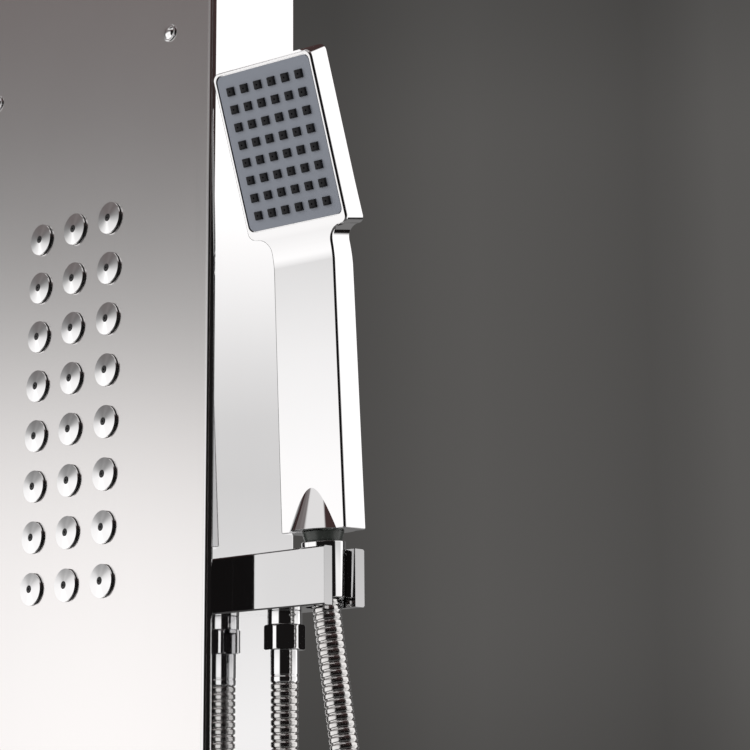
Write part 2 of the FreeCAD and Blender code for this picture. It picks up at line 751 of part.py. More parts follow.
def handset_body():
    """A flat handle with a bent rectangular head, its waterway and its round foot."""
    handle = Part.makeLoft([handle_section(handle_width, handle_thickness, 0),
                            handle_section(handle_top_width, handle_top_thickness,
                                           handle_length + head_step)], True, True)
    long_edges = [e for e in handle.Edges if abs(e.tangentAt(e.FirstParameter).z) > 0.9]
    handle = handle.makeFillet(handle_edge, long_edges)
    head = rounded_block(-head_width / 2, head_width / 2, 0, head_thickness, 0, head_height,
                         head_corner, Y_AXIS)
    foot = cone(foot_cone_radius, handle_thickness / 2 - handle_edge,
                foot_cone_height * (foot_cone_radius - handle_thickness / 2 + handle_edge)
                / (foot_cone_radius - handle_thickness / 2), V(0, 0, 0))
    body = handle.fuse([head_placed(head), shoulders(), foot]).removeSplitter()
    plate_space = spray_pocket(0, plate_thickness + plate_recess + 1, -1)
    chamber = spray_pocket(2.5, chamber_depth, plate_thickness)
    bore = rod(handle_bore_radius, handle_length + 6, V(0, 0, 10))
    inlet = rod(inlet_tube_radius + seat_gap / 2, 10, V(0, 0, 0))
    return body.cut([head_placed(plate_space), head_placed(chamber), bore, inlet])


def spray_plate():
    plate = spray_pocket(seat_gap, plate_thickness, plate_recess)
    return head_placed(plate.cut(stud_blocks(stud_size + 2 * 0.1, plate_thickness * 3, -plate_thickness)))


def stud_blocks(size, depth, start):
    first_x = -(stud_columns - 1) / 2 * stud_pitch_x
    first_z = head_height / 2 - (stud_rows - 1) / 2 * stud_pitch_z
    return [centred_block(size, depth, size,
                          V(first_x + i * stud_pitch_x, start + depth / 2, first_z + j * stud_pitch_z))
            for i in range(stud_columns) for j in range(stud_rows)]


def spray_studs():
    """The soft square nozzles, on one mat behind the spray plate."""
    mat_y = plate_recess + plate_thickness
    mat = spray_pocket(2.5 + seat_gap, 1.0, mat_y)
    studs = stud_blocks(stud_size, mat_y + stud_stand, -stud_stand)
    return head_placed(mat.fuse(studs).removeSplitter())


def inlet_ring():
    """The tapered ring that closes the handle's foot."""
    ring = cone(inlet_ring_bottom_radius, inlet_ring_top_radius, inlet_ring_height,
                V(0, 0, -inlet_ring_height))
    return ring.cut(rod(inlet_tube_radius + seat_gap / 2, 3 * inlet_ring_height,
                        V(0, 0, -2 * inlet_ring_height)))


def inlet_tube():
    """The threaded tube that holds the ring on the handle and screws into the hose's nut."""
    thread = rod(inlet_thread_radius, inlet_thread_length,
                 V(0, 0, -inlet_ring_height - inlet_thread_length))
    tube = rod(inlet_tube_radius, 9 + inlet_ring_height, V(0, 0, -inlet_ring_height))
    return thread.fuse(tube).cut(rod(handle_bore_radius - 1, 60, V(0, 0, -30)))


# ---- rain head ---------------------------------------------------------------------------
ball_centre = V(0, ball_y, ball_z)
seat_inner = ball_radius + running_gap
seat_outer = seat_inner + ball_seat
cup_inner = seat_outer + running_gap


def rain_arm():
    """A square tube that rises from the column and reaches out to its ball stud."""
    half_w, half_t = arm_width / 2, arm_thickness / 2
    base = top_z + flange_thickness
    top = arm_axis_z + half_t
    end_y = ball_y - half_w
    riser = block(-half_w, half_w, arm_y - half_t, arm_y + half_t, base, top)
    boom = block(-half_w, half_w, end_y, arm_y + half_t, arm_axis_z - half_t, top)
    outer = riser.fuse(boom).removeSplitter()
    corner = edges_along(outer, X_AXIS, lambda m: m.y > arm_y and m.z > arm_axis_z)
    outer = outer.makeFillet(half_t, corner)
    w = arm_wall
    inner_riser = block(-half_w + w, half_w - w, arm_y - half_t + w, arm_y + half_t - w, base + w, top - w)
    inner_boom = block(-half_w + w, half_w - w, end_y + w, arm_y + half_t - w,
                       arm_axis_z - half_t + w, top - w)
    hollow = inner_riser.fuse(inner_boom).removeSplitter()
    corner = edges_along(hollow, X_AXIS, lambda m: m.y > arm_y and m.z > arm_axis_z)
    hollow = hollow.makeFillet(half_t - w, corner)
    spigot = rod(arm_spigot_radius, base - arm_spigot_foot_z, V(0, arm_y, arm_spigot_foot_z))
    way = rod(pipe_radius + seat_gap, 60, V(0, arm_y, arm_spigot_foot_z - 10))
    stud = Part.makeSphere(ball_radius, ball_centre)
    stud = stud.fuse([rod(ball_neck_radius, ball_below_arm, ball_centre),
                      rod(ball_neck_radius + 5, 4, ball_centre + Z_AXIS * (ball_below_arm - 4))])
    stud_way = rod(ball_neck_radius - 2.5, 2 * ball_below_arm, ball_centre - Z_AXIS * ball_radius)
    stud_way = stud_way.common(block(-half_w, half_w, end_y, arm_y, ball_z - 2 * ball_radius,
                                     arm_axis_z - half_t + w))
    return outer.cut(hollow).fuse([spigot, stud]).cut([way, stud_way])


def arm_flange():
    """The square rosette under the arm, seated on the column's top."""
    half = flange_size / 2
    plate = rounded_block(-half, half, arm_y - half, arm_y + half, top_z, top_z + flange_thickness,
                          3.0, Z_AXIS)
    return plate.cut(rod(arm_spigot_radius + seat_gap, 3 * flange_thickness,
                         V(0, arm_y, top_z - flange_thickness)))


def arm_nut():
    nut = hexagon(arm_nut_across, arm_nut_height, V(0, arm_y, top_z - sheet - arm_nut_height))
    return nut.cut(rod(arm_spigot_radius + seat_gap / 2, 60, V(0, arm_y, top_z - 40)))


def ball_zone(low, high):
    """A band of a hollow ball between two heights beside the ball's middle."""
    band = Part.makeSphere(seat_outer, ball_centre).cut(Part.makeSphere(seat_inner, ball_centre))
    return band.common(block(-60, 60, ball_y - 60, ball_y + 60, ball_z + low, ball_z + high))


def lower_seat():
    return ball_zone(-ball_radius * 0.86, -ball_radius * 0.6)


def upper_seat():
    return ball_zone(-ball_radius * 0.3, -ball_radius * 0.05)


def ball_cup():
    """The round nut on the rain head, whose lip holds the arm's ball."""
    low = -rain_below_ball
    lip_low = math.sqrt((seat_inner + turn_gap / 2) ** 2 - ball_lip_low ** 2)
    lip_top = math.sqrt((seat_inner + turn_gap / 2) ** 2 - ball_lip_top ** 2)
    return revolve([(ball_neck_radius, low), (ball_nut_radius, low), (ball_nut_radius, ball_lip_top),
                    (lip_top, ball_lip_top), (lip_low, ball_lip_low), (cup_inner, ball_lip_low),
                    (cup_inner, -cup_inner), (ball_neck_radius, -cup_inner)], ball_centre)


def rain_body():
    """The thin square shell of the rain head."""
    half = rain_size / 2
    top = ball_z - rain_below_ball
    shell = rounded_block(-half, half, ball_y - half, ball_y + half, top - rain_thickness, top,
                          rain_corner, Z_AXIS)
    wall = 1.5
    hollow = rounded_block(-half + wall, half - wall, ball_y - half + wall, ball_y + half - wall,
                           top - rain_thickness - 1, top - wall, rain_corner - wall, Z_AXIS)
    way = rod(ball_neck_radius, 20, V(0, ball_y, top - 10))
    return shell.cut([hollow, way])


def rain_plate():
    """The spray plate that closes the rain head from below, with its soft nozzles' holes."""
    half = rain_size / 2 - 1.5 - seat_gap
    low = ball_z - rain_below_ball - rain_thickness
    return rounded_block(-half, half, ball_y - half, ball_y + half, low, low + 2.0,
                         rain_corner - 1.5, Z_AXIS)


def rain_nozzles():
    """Tapered square studs in rows, like those of the hand shower."""
    low = ball_z - rain_below_ball - rain_thickness
    offset = (rain_nozzle_count - 1) / 2 * rain_nozzle_pitch
    half, tip = rain_nozzle_size / 2, rain_nozzle_size / 4
    stud = Part.makeWedge(-half, 0, -half, -tip, -tip, half, rain_nozzle_stand, half, tip, tip)
    stud.rotate(V(0, 0, 0), X_AXIS, -90)
    return Part.makeCompound([
        stud.translated(V(i * rain_nozzle_pitch - offset, ball_y + j * rain_nozzle_pitch - offset, low))
        for i in range(rain_nozzle_count) for j in range(rain_nozzle_count)])


# ---- mixer and diverter ------------------------------------------------------------------
def valve_plate(z):
    """A square plate on the column's face with a hole for the valve's stem."""
    half = valve_plate_size / 2
    plate = rounded_block(-half, half, valve_front_y, front_y, z - half, z + half, 4.0, Y_AXIS)
    return plate.cut(rod(cartridge_radius + seat_gap, 3 * valve_plate_thickness,
                         V(0, valve_front_y - valve_plate_thickness, z), Y_AXIS))


def valve_body(z, ports):
    """A round brass body behind the column's face, with pipe stubs."""
    start = inner_front_y
    body = rod(valve_body_radius, valve_body_depth, V(0, start, z), Y_AXIS)
    stubs = [rod(pipe_radius + 2, stub_reach, V(0, pipe_y, z), way)
             for way in ports]
    hollow = rod(cartridge_radius + seat_gap, valve_body_depth - 8, V(0, start - 0.01, z), Y_AXIS)
    return body.fuse(stubs).removeSplitter().cut(hollow)


def cartridge(z):
    """The valve cartridge, seated in its body and reaching through the plate."""
    start = valve_front_y + turn_gap
    length = inner_front_y + valve_body_depth - 8 - seat_gap - start
    return rod(cartridge_radius, length, V(0, start, z), Y_AXIS).cut(
        rod(valve_stem_radius + running_gap, 12, V(0, start - 0.01, z), Y_AXIS))


def turret():
    """The round base that the mixer's lever tilts in, and turns with it."""
    base = valve_front_y - turn_gap
    body = rod(turret_radius, turret_height, V(0, base, mixer_z), -Y_AXIS)
    slot = block(-lever_width / 2 - turn_gap, lever_width / 2 + turn_gap,
                 base - turret_height - 1, base - 3, mixer_z - turret_radius - 1, mixer_z + turret_radius)
    pin_hole = rod(lever_pin_radius + running_gap, 2 * turret_radius + 2,
                   V(-turret_radius - 1, base - lever_pivot_height, mixer_z), X_AXIS)
    stem = rod(valve_stem_radius, 10, V(0, base, mixer_z), Y_AXIS)
    return body.cut([slot, pin_hole]).fuse(stem)


def lever():
    """The mixer's flat lever with its hub round the pivot pin."""
    base = valve_front_y - turn_gap
    pivot_y = base - lever_pivot_height
    hub = rod(lever_pivot_height - 3 - turn_gap, lever_width, V(-lever_width / 2, pivot_y, mixer_z), X_AXIS)
    front = base - turret_height - 2
    neck = block(-lever_width / 2, lever_width / 2, front, pivot_y, mixer_z - 5, mixer_z + 5)
    grip = block(-lever_width / 2, lever_width / 2, front - lever_thickness, front,
                 mixer_z - lever_length + turret_radius, mixer_z + turret_radius)
    grip = grip.makeFillet(2.5, edges_along(grip, X_AXIS))
    whole = hub.fuse([neck, grip]).removeSplitter()
    return whole.cut(rod(lever_pin_radius + running_gap, 2 * lever_width,
                         V(-lever_width, pivot_y, mixer_z), X_AXIS))


def lever_pin():
    base = valve_front_y - turn_gap
    half = turret_radius - 1.5
    return rod(lever_pin_radius, 2 * half, V(-half, base - lever_pivot_height, mixer_z), X_AXIS)


def diverter_knob():
    """A square knob with a raised pointer rib and the stem that turns the cartridge."""
    half = knob_size / 2
    base = valve_front_y - turn_gap
    knob = rounded_block(-half, half, base - knob_height, base, diverter_z - half, diverter_z + half,
                         4.0, Y_AXIS)
    rib = block(-1.5, 1.5, base - knob_height - 1.0, base - knob_height, diverter_z + 4,
                diverter_z + half - 3)
    stem = rod(valve_stem_radius, 10, V(0, base, diverter_z), Y_AXIS)
    return knob.fuse([rib, stem]).removeSplitter()




def inlet_elbow(side):
    """One supply inlet: a pipe from the mixer to a threaded stub that points at the wall."""
    x = side * inlet_spacing / 2
    start = V(side * stub_reach, pipe_y, mixer_z)
    across = rod(inlet_pipe_radius, abs(x) - stub_reach, start, X_AXIS * side)
    corner = centred_block(elbow_size, elbow_size, elbow_size, V(x, pipe_y, mixer_z))
    stub_y = pipe_y + elbow_size / 2
    neck = rod(inlet_pipe_radius, inlet_neck, V(x, stub_y, mixer_z), Y_AXIS)
    end = rod(inlet_pin_radius, inlet_pin_length, V(x, stub_y + inlet_neck, mixer_z), Y_AXIS)
    bore = rod(inlet_pipe_radius - 2, inlet_neck + inlet_pin_length + elbow_size / 2,
               V(x, pipe_y, mixer_z), Y_AXIS)
    return across.fuse([corner, neck, end]).removeSplitter().cut(bore)


def link_pipe():
    """From the mixer up to the diverter."""
    low, high = mixer_z + stub_reach, diverter_z - stub_reach
    return rod(pipe_radius, high - low, V(0, pipe_y, low))


def jet_feed_pipe():
    """From the diverter up to the manifold's foot."""
    low = diverter_z + stub_reach
    return rod(pipe_radius, manifold_foot_z - low, V(0, pipe_y, low))


def riser_pipe():
    """From the diverter's left side up beside the jets to the rain arm's spigot."""
    x = -carrier_screw_x - carrier_margin - pipe_radius - 6
    turn_z = top_z - 90
    points = [V(-stub_reach, pipe_y, diverter_z), V(x, pipe_y, diverter_z), V(x, pipe_y, turn_z),
              V(0, arm_y, turn_z), V(0, arm_y, arm_spigot_foot_z + 12)]
    return bent_pipe(points, pipe_radius, pipe_bend)


def bracket_feed_pipe():
    """From the diverter's right side up into the bracket's spigot."""
    spigot_x = bracket_start_x - bracket_spigot_length
    x = spigot_x - bracket_feed_bend - 1
    points = [V(stub_reach, pipe_y, diverter_z), V(x, pipe_y, diverter_z),
              V(x, bracket_y, diverter_z + 60), V(x, bracket_y, bracket_z),
              V(spigot_x + 4, bracket_y, bracket_z)]
    return bent_pipe(points, bracket_feed_radius, bracket_feed_bend)


def export(name, shape):
    shape.exportStep("parts/" + name + ".step")
    print(name, "solids", len(shape.Solids), "valid", shape.isValid(), "volume", round(shape.Volume))


def build():
    os.makedirs("parts", exist_ok=True)
    pieces = {
        "column_shell": column_shell(),
        "top_end_pan": top_pan(),
        "bottom_end_pan": bottom_pan(),
        "wall_hanger": wall_hanger(),
        "hanger_crossbar": hanger_crossbar(),
        "foot_bracket": foot_bracket(),
        "jet_bodies": jet_bodies(),
        "jet_tips": jet_tips(),
        "jet_manifold": jet_manifold(),
        "manifold_carrier": carrier_plate(),
        "carrier_standoffs": carrier_standoffs(),
        "carrier_screws": carrier_screws(),
        "carrier_nuts": carrier_nuts(),
        "bracket_bar": bracket_bar(),
        "bracket_gasket": bracket_gasket(),
        "bracket_nut": bracket_nut(),
        "outlet_nipple": outlet_nipple(),
        "outlet_nut": outlet_nut(),
        "outlet_washer": outlet_washer(),
        "outlet_ferrule": outlet_ferrule(),
        "hose": hose(),
        "hose_end_ferrule": hose_end_ferrule(),
        "cone_nut": cone_nut(),
        "cone_washer": cone_washer(),
        "handset_body": handset_placed(handset_body()),
        "spray_plate": handset_placed(spray_plate()),
        "spray_studs": handset_placed(spray_studs()),
        "inlet_ring": handset_placed(inlet_ring()),
        "inlet_tube": handset_placed(inlet_tube()),
        "rain_arm": rain_arm(),
        "arm_flange": arm_flange(),
        "arm_nut": arm_nut(),
        "lower_ball_seat": lower_seat(),
        "upper_ball_seat": upper_seat(),
        "ball_cup": ball_cup(),
        "rain_body": rain_body(),
        "rain_plate": rain_plate(),
        "rain_nozzles": rain_nozzles(),
        "mixer_plate": valve_plate(mixer_z),
        "mixer_body": valve_body(mixer_z, (X_AXIS, -X_AXIS, Z_AXIS)),
        "mixer_cartridge": cartridge(mixer_z),
        "mixer_turret": turret(),
        "mixer_lever": lever(),
        "lever_pin": lever_pin(),
        "diverter_plate": valve_plate(diverter_z),
        "diverter_body": valve_body(diverter_z, (X_AXIS, -X_AXIS, Z_AXIS, -Z_AXIS)),
        "diverter_cartridge": cartridge(diverter_z),
        "diverter_knob": diverter_knob(),
        "hot_inlet": inlet_elbow(-1),
        "cold_inlet": inlet_elbow(1),
        "link_pipe": link_pipe(),
        "jet_feed_pipe": jet_feed_pipe(),
        "riser_pipe": riser_pipe(),
        "bracket_feed_pipe": bracket_feed_pipe(),
    }
    for name, shape in pieces.items():
        export(name, shape)


build()
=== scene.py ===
"""Builds the look of a wall shower panel: a bent steel column with jets, a hand shower in its
bracket on a ribbed hose, a rain head, a mixer and a diverter. Lengths in the code are in
millimetres, unless a name or a description says otherwise, and the scene is in metres."""

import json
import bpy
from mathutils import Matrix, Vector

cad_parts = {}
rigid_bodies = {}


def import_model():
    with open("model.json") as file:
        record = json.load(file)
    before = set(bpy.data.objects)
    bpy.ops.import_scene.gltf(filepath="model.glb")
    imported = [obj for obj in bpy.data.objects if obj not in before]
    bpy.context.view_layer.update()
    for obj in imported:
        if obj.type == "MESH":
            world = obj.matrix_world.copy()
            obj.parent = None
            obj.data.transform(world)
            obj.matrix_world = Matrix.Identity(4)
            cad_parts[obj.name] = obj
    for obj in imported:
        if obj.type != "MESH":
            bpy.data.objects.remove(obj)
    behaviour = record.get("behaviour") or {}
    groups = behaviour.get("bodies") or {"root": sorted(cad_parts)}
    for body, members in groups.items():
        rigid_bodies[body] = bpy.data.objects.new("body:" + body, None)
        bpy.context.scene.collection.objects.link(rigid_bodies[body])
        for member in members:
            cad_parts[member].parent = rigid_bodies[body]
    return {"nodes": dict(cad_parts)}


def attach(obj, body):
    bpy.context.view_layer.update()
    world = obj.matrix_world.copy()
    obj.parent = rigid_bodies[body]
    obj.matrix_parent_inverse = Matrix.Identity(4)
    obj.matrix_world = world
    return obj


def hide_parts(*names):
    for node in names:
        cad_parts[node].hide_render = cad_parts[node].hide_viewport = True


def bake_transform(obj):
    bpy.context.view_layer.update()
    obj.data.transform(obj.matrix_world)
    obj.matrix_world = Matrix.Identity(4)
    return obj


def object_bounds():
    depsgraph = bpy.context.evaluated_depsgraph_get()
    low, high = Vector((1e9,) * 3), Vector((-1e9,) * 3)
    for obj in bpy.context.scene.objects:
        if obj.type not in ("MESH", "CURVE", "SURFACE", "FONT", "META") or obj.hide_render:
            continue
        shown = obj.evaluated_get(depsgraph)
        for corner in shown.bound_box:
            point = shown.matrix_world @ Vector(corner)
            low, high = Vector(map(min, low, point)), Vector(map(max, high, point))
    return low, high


bl_info = {
    "name": "Shower Panel Column",
    "version": (1, 0, 0),
    "blender": (4, 5, 0),
    "location": "View3D > Sidebar > Shower Panel",
    "description": "Builds the visible pieces and finishes of a shower panel column",
    "category": "Object",
}

from math import acos, copysign, cos, pi, radians, sin, sqrt, tan

import bmesh
import bpy
from bpy.props import FloatProperty, FloatVectorProperty, IntProperty, PointerProperty
from mathutils import Matrix, Vector

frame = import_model()
cad_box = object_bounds()

MM = 0.001
TINY = 1e-6
QUARTER = radians(90)

# The column, and what stands on its face.
FACE_Y = -65.0  # the front face
SIDE_X = 118.0  # the right side
SHEET = 1.2
BEND_OUTER = 2.0  # the outer radius of the drawing's bends
SOFT_BEND = 4.0  # and of the real ones
JET_MIDDLE = (0.0, FACE_Y, -445.0)
SCREWS_ACROSS, SCREWS_UP = 164.0, 410.0

# The bracket, and the hose's fittings at it.
BRACKET_Y = -31.5
BRACKET_UNDERSIDE = -572.0
OUTLET_X = 142.0
COLLAR_HEIGHT, NUT_HEIGHT, SLEEVE_HEIGHT = 7.3, 13.0, 17.0
COLLAR_FOOT = BRACKET_UNDERSIDE - COLLAR_HEIGHT
NUT_FOOT = COLLAR_FOOT - NUT_HEIGHT
SLEEVE_FOOT = NUT_FOOT - SLEEVE_HEIGHT
SOCKET = Vector((172.0, -32.0, -557.0))
SOCKET_LEAN = radians(2.8)
CONE_TOP, CONE_HEIGHT = 18.6, 28.8  # of the conical nut, in the socket's frame

# The hand shower, in its own frame.
RING_HEIGHT, RING_GAP = 5.0, 0.4
HANDSET_LIFT = CONE_TOP + RING_HEIGHT + RING_GAP
HANDSET_TURN = radians(9.6)
HANDLE_DEPTH, HANDLE_LENGTH = 18.2, 160.5
HEAD_STEP = 3.2  # the head's face stands in front of the handle's
HEAD_HINGE = Vector((0.0, -HANDLE_DEPTH / 2 - HEAD_STEP, HANDLE_LENGTH))
HEAD_LENGTH = 88.8
HEAD_BEND = radians(18.6)
HEAD_ASIDE = -1.25  # the head sits a little off the handle's middle
SHOULDER_LIE = radians(11.0)  # how far the head's sections lean back at its shoulders
HEAD_TOP_LIE = radians(28.0)  # and at its top end

BALL = Vector((0.0, -362.5, 230.0))
RAIN_FACE_BELOW_BALL = 24.0

# The hose's route from the bracket's outlet down and back up to the conical nut.
HOSE_ROUTE = (
    (142.0, -31.5, -609.3), (142.0, -31.5, -639.3), (142.8, -31.3, -694.3),
    (140.9, -32.5, -799.3), (134.4, -35.0, -1008.7), (137.8, -37.0, -1138.7),
    (157.6, -38.5, -1218.3), (200.5, -39.5, -1254.3), (255.4, -40.0, -1258.1),
    (302.0, -40.0, -1228.9), (323.0, -39.5, -1177.0), (316.5, -38.5, -1115.4),
    (289.8, -37.0, -1019.0), (255.06, -35.0, -914.08), (213.66, -33.5, -769.88),
    (188.96, -32.1, -662.68), (177.45, -31.5, -601.76), (172.16, -31.5, -568.18),
)
RIB_DEPTH_IN_METRES = 0.0012
RIB_STEEPNESS = 6.0

CAMERA_PLACE = Vector((834.5, -713.65, -655.83))
CAMERA_TURN, CAMERA_RISE, CAMERA_ROLL = radians(42.56), radians(12.24), radians(-0.55)
CAMERA_LENS = 88.16


# ---- places ----
def socket_frame():
    """From the bracket socket's own frame, in millimetres, to the scene."""
    return (Matrix.Scale(MM, 4) @ Matrix.Translation(SOCKET)
            @ Matrix.Rotation(SOCKET_LEAN, 4, "X"))


def handset_frame():
    """From the hand shower's own frame: Z up its handle from its foot, front at -Y."""
    return (socket_frame() @ Matrix.Translation((0, 0, HANDSET_LIFT))
            @ Matrix.Rotation(HANDSET_TURN, 4, "Z"))


def head_frame():
    """From the hand shower head's frame: its face at Y = 0, its lower edge at Z = 0."""
    return handset_frame() @ Matrix.Translation(HEAD_HINGE) @ Matrix.Rotation(HEAD_BEND, 4, "X")


def upright_at(x, y, z):
    return Matrix.Scale(MM, 4) @ Matrix.Translation((x, y, z))


# ---- node building ----
class Value:
    """One socket of a tree, with the arithmetic that a recipe needs."""

    def __init__(self, tree, socket):
        self.tree, self.socket = tree, socket

    def math(self, operation, *others):
        return self.tree.math(operation, self, *others)

    def __add__(self, other):
        return self.math("ADD", other)

    def __sub__(self, other):
        return self.math("SUBTRACT", other)

    def __rsub__(self, other):
        return self.tree.math("SUBTRACT", other, self)

    def __mul__(self, other):
        return self.math("MULTIPLY", other)

    def __truediv__(self, other):
        return self.math("DIVIDE", other)

    def step(self, low, high):
        """0 below low, 1 above high, smooth between."""
        return self.tree.value("ShaderNodeMapRange",
                               {"Value": self, "From Min": low, "From Max": high},
                               interpolation_type="SMOOTHSTEP")


class Tree:
    """A tree of nodes."""

    def __init__(self, tree):
        self.nodes, self.links = tree.nodes, tree.links

    def node(self, kind, sockets=None, **settings):
        """A node with its settings, and its sockets linked or set."""
        made = self.nodes.new(kind)
        for key, value in settings.items():
            setattr(made, key, value)
        for key, value in (sockets or {}).items():
            target = made.inputs[key] if isinstance(key, int) else next(
                s for s in made.inputs if s.name == key and s.enabled)
            if isinstance(value, Value):
                self.links.new(value.socket, target)
            elif isinstance(value, tuple) and target.type == "RGBA":
                target.default_value = (*value, 1.0)
            else:
                target.default_value = value
        return made

    def value(self, kind, sockets=None, output=0, **settings):
        return Value(self, self.node(kind, sockets, **settings).outputs[output])

    def math(self, operation, *values):
        return self.value("ShaderNodeMath", dict(enumerate(values)), operation=operation)


class Finish(Tree):
    """A material or world, and the nodes that make it."""

    def __init__(self, owner):
        owner.use_nodes = True
        super().__init__(owner.node_tree)
        self.nodes.clear()

    def mix(self, factor, a, b):
        made = self.node("ShaderNodeMix", {"Factor": factor, "A": a, "B": b}, data_type="RGBA")
        return Value(self, next(s for s in made.outputs if s.enabled))

    def mixed(self, factor, a, b):
        """A number between two others."""
        return a * (1 - factor) + b * factor

    def grain(self, scale, stretch=(1, 1, 1), detail=3.0):
        """Noise from the piece's own coordinates, 0 to 1, stretched per axis."""
        here = self.value("ShaderNodeTexCoord", output="Object")
        placed = self.value("ShaderNodeMapping", {"Vector": here, "Scale": stretch})
        return self.value("ShaderNodeTexNoise", {"Vector": placed, "Scale": scale,
                                                 "Detail": detail, "Roughness": 0.55})

    def bump(self, height, strength):
        return self.value("ShaderNodeBump",
                          {"Height": height, "Strength": strength, "Distance": 0.0002})

    def levels(self, angle, stops):
        """A level that is read from an angle, from pairs of degrees and levels."""
        low, high = stops[0][0], stops[-1][0]
        most = max(level for _, level in stops)
        made = self.node("ShaderNodeValToRGB", {"Fac": (angle - low) / (high - low)})
        elements = made.color_ramp.elements
        while len(elements) < len(stops):
            elements.new(0.5)
        for element, (degrees, level) in zip(elements, stops):
            element.position = (degrees - low) / (high - low)
            element.color = (*(level / most,) * 3, 1.0)
        return Value(self, made.outputs[0]) * most

    def shader(self, sockets, kind="BsdfPrincipled"):
        return self.value("ShaderNode" + kind, sockets)

    def end(self, kind, shader):
        self.node("ShaderNodeOutput" + kind, {"Surface": shader})


class Recipe(Tree):
    """Geometry nodes that make a painted mesh of a geometry and named values."""

    def __init__(self, name, values):
        group = bpy.data.node_groups.new(name, "GeometryNodeTree")
        super().__init__(group)

        def add(key, way, kind):
            return group.interface.new_socket(key, in_out=way, socket_type="NodeSocket" + kind)

        add("Geometry", "INPUT", "Geometry")
        for key, default in values.items():
            kind = "Int" if isinstance(default, int) else "Float"
            add(key, "INPUT", kind).default_value = default
        add("Finish", "INPUT", "Material")
        add("Geometry", "OUTPUT", "Geometry")
        self.given = {s.name: Value(self, s) for s in self.node("NodeGroupInput").outputs}

    def end(self, geometry):
        """Make the geometry one plain mesh, paint it and give it out."""
        solid = self.value("GeometryNodeRealizeInstances", {0: geometry})
        painted = self.value("GeometryNodeSetMaterial",
                             {"Geometry": solid, "Material": self.given["Finish"]})
        self.node("NodeGroupOutput", {0: painted})


FINISHES = {}


def new_finish(name):
    FINISHES[name] = bpy.data.materials.new(name)
    return Finish(FINISHES[name])


def metal(name, colour, roughness, spread, grain_scale, stretch=(1, 1, 1), relief=0.0, tint=0.04):
    """A bare or plated metal whose polish varies along its grain."""
    f = new_finish(name)
    lines = f.grain(grain_scale, stretch)
    clouds = f.grain(7.0, detail=2.0)
    dark = tuple(c * (1 - tint) for c in colour)
    sockets = {
        "Metallic": 1.0,
        "Base Color": f.mix(clouds * 0.6 + lines * 0.4, dark, colour),
        "Roughness": (lines - 0.5) * spread + (clouds - 0.5) * spread * 0.5 + roughness,
    }
    if relief:
        sockets["Normal"] = f.bump(lines, relief)
    f.end("Material", f.shader(sockets))


def moulded(name, colour, roughness, texture, speckle, shine=0.5):
    """A moulded plastic or rubber with the fine texture of its tool."""
    f = new_finish(name)
    fine = f.grain(speckle, detail=2.0)
    broad = f.grain(30.0, detail=2.0)
    pale = tuple(min(1.0, c * 1.12) for c in colour)
    f.end("Material", f.shader({
        "Specular IOR Level": shine,
        "Base Color": f.mix(broad, colour, pale),
        "Roughness": (fine - 0.5) * 0.12 + roughness,
        "Normal": f.bump(fine, texture),
    }))


def floor_finish():
    """A plain pale floor that lights the pieces, and that their mirrors look past."""
    f = new_finish("pale_floor")
    clouds = f.grain(3.0, detail=2.0)
    pale = f.shader({"Base Color": f.mix(clouds, (0.72, 0.715, 0.705), (0.76, 0.755, 0.745)),
                     "Roughness": clouds * 0.1 + 0.7})
    mirrored = f.value("ShaderNodeLightPath", output="Is Glossy Ray")
    f.end("Material", f.shader({0: mirrored, 1: pale, 2: f.shader({}, "BsdfTransparent")},
                               "MixShader"))


def mix_finishes(look):
    """All finishes of the panel, from the colours that the user can set."""
    steel, chrome = tuple(look.steel), tuple(look.chrome)
    duller = tuple(c * 0.76 for c in chrome)
    # Colour, roughness, its spread, and the grain's scale and stretch.
    metal("satin_steel_front", steel, look.satin, 0.05, 260.0, (6, 1, 0.05), relief=0.05)
    metal("mirror_steel_side", chrome, 0.035, 0.02, 60.0, (1, 1, 0.2))
    metal("mill_steel_inside", (0.50, 0.50, 0.49), 0.38, 0.12, 160.0, (1, 1, 4), relief=0.08)
    metal("chrome_plate", chrome, 0.05, 0.03, 40.0)
    metal("bracket_chrome", duller, 0.05, 0.03, 40.0)
    metal("hose_steel", (0.70, 0.69, 0.68), 0.19, 0.10, 900.0)
    metal("zinc_plate", (0.56, 0.57, 0.60), 0.36, 0.16, 120.0, relief=0.1, tint=0.14)
    metal("raw_brass", (0.60, 0.42, 0.19), 0.32, 0.16, 90.0, relief=0.1, tint=0.16)
    # Colour, roughness, and the texture's depth and scale.
    moulded("grey_spray_face", tuple(look.face), 0.34, 0.10, 700.0)
    moulded("grey_ring", (0.050, 0.058, 0.052), 0.30, 0.08, 700.0)
    moulded("soft_stud", tuple(look.stud), 0.42, 0.12, 2400.0, shine=0.2)
    moulded("soft_jet_tip", (0.012, 0.012, 0.013), 0.45, 0.12, 2400.0)
    moulded("black_rubber", (0.020, 0.020, 0.021), 0.55, 0.3, 1600.0)
    moulded("white_plastic", (0.72, 0.71, 0.68), 0.42, 0.12, 1100.0)
    floor_finish()


# ---- mesh building ----
def bench(name, data):
    """A new object in the scene. Modifiers are run on some, others are kept as pieces."""
    piece = bpy.data.objects.new(name, data)
    bpy.context.scene.collection.objects.link(piece)
    return piece


def put(name, mesh, body, node, material="chrome_plate"):
    """Add a finished mesh to the scene as a piece of a body, in place of a CAD node."""
    piece = bench(name, mesh)
    mesh.materials.clear()
    mesh.materials.append(FINISHES[material])
    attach(piece, body)
    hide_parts(node)
    return piece


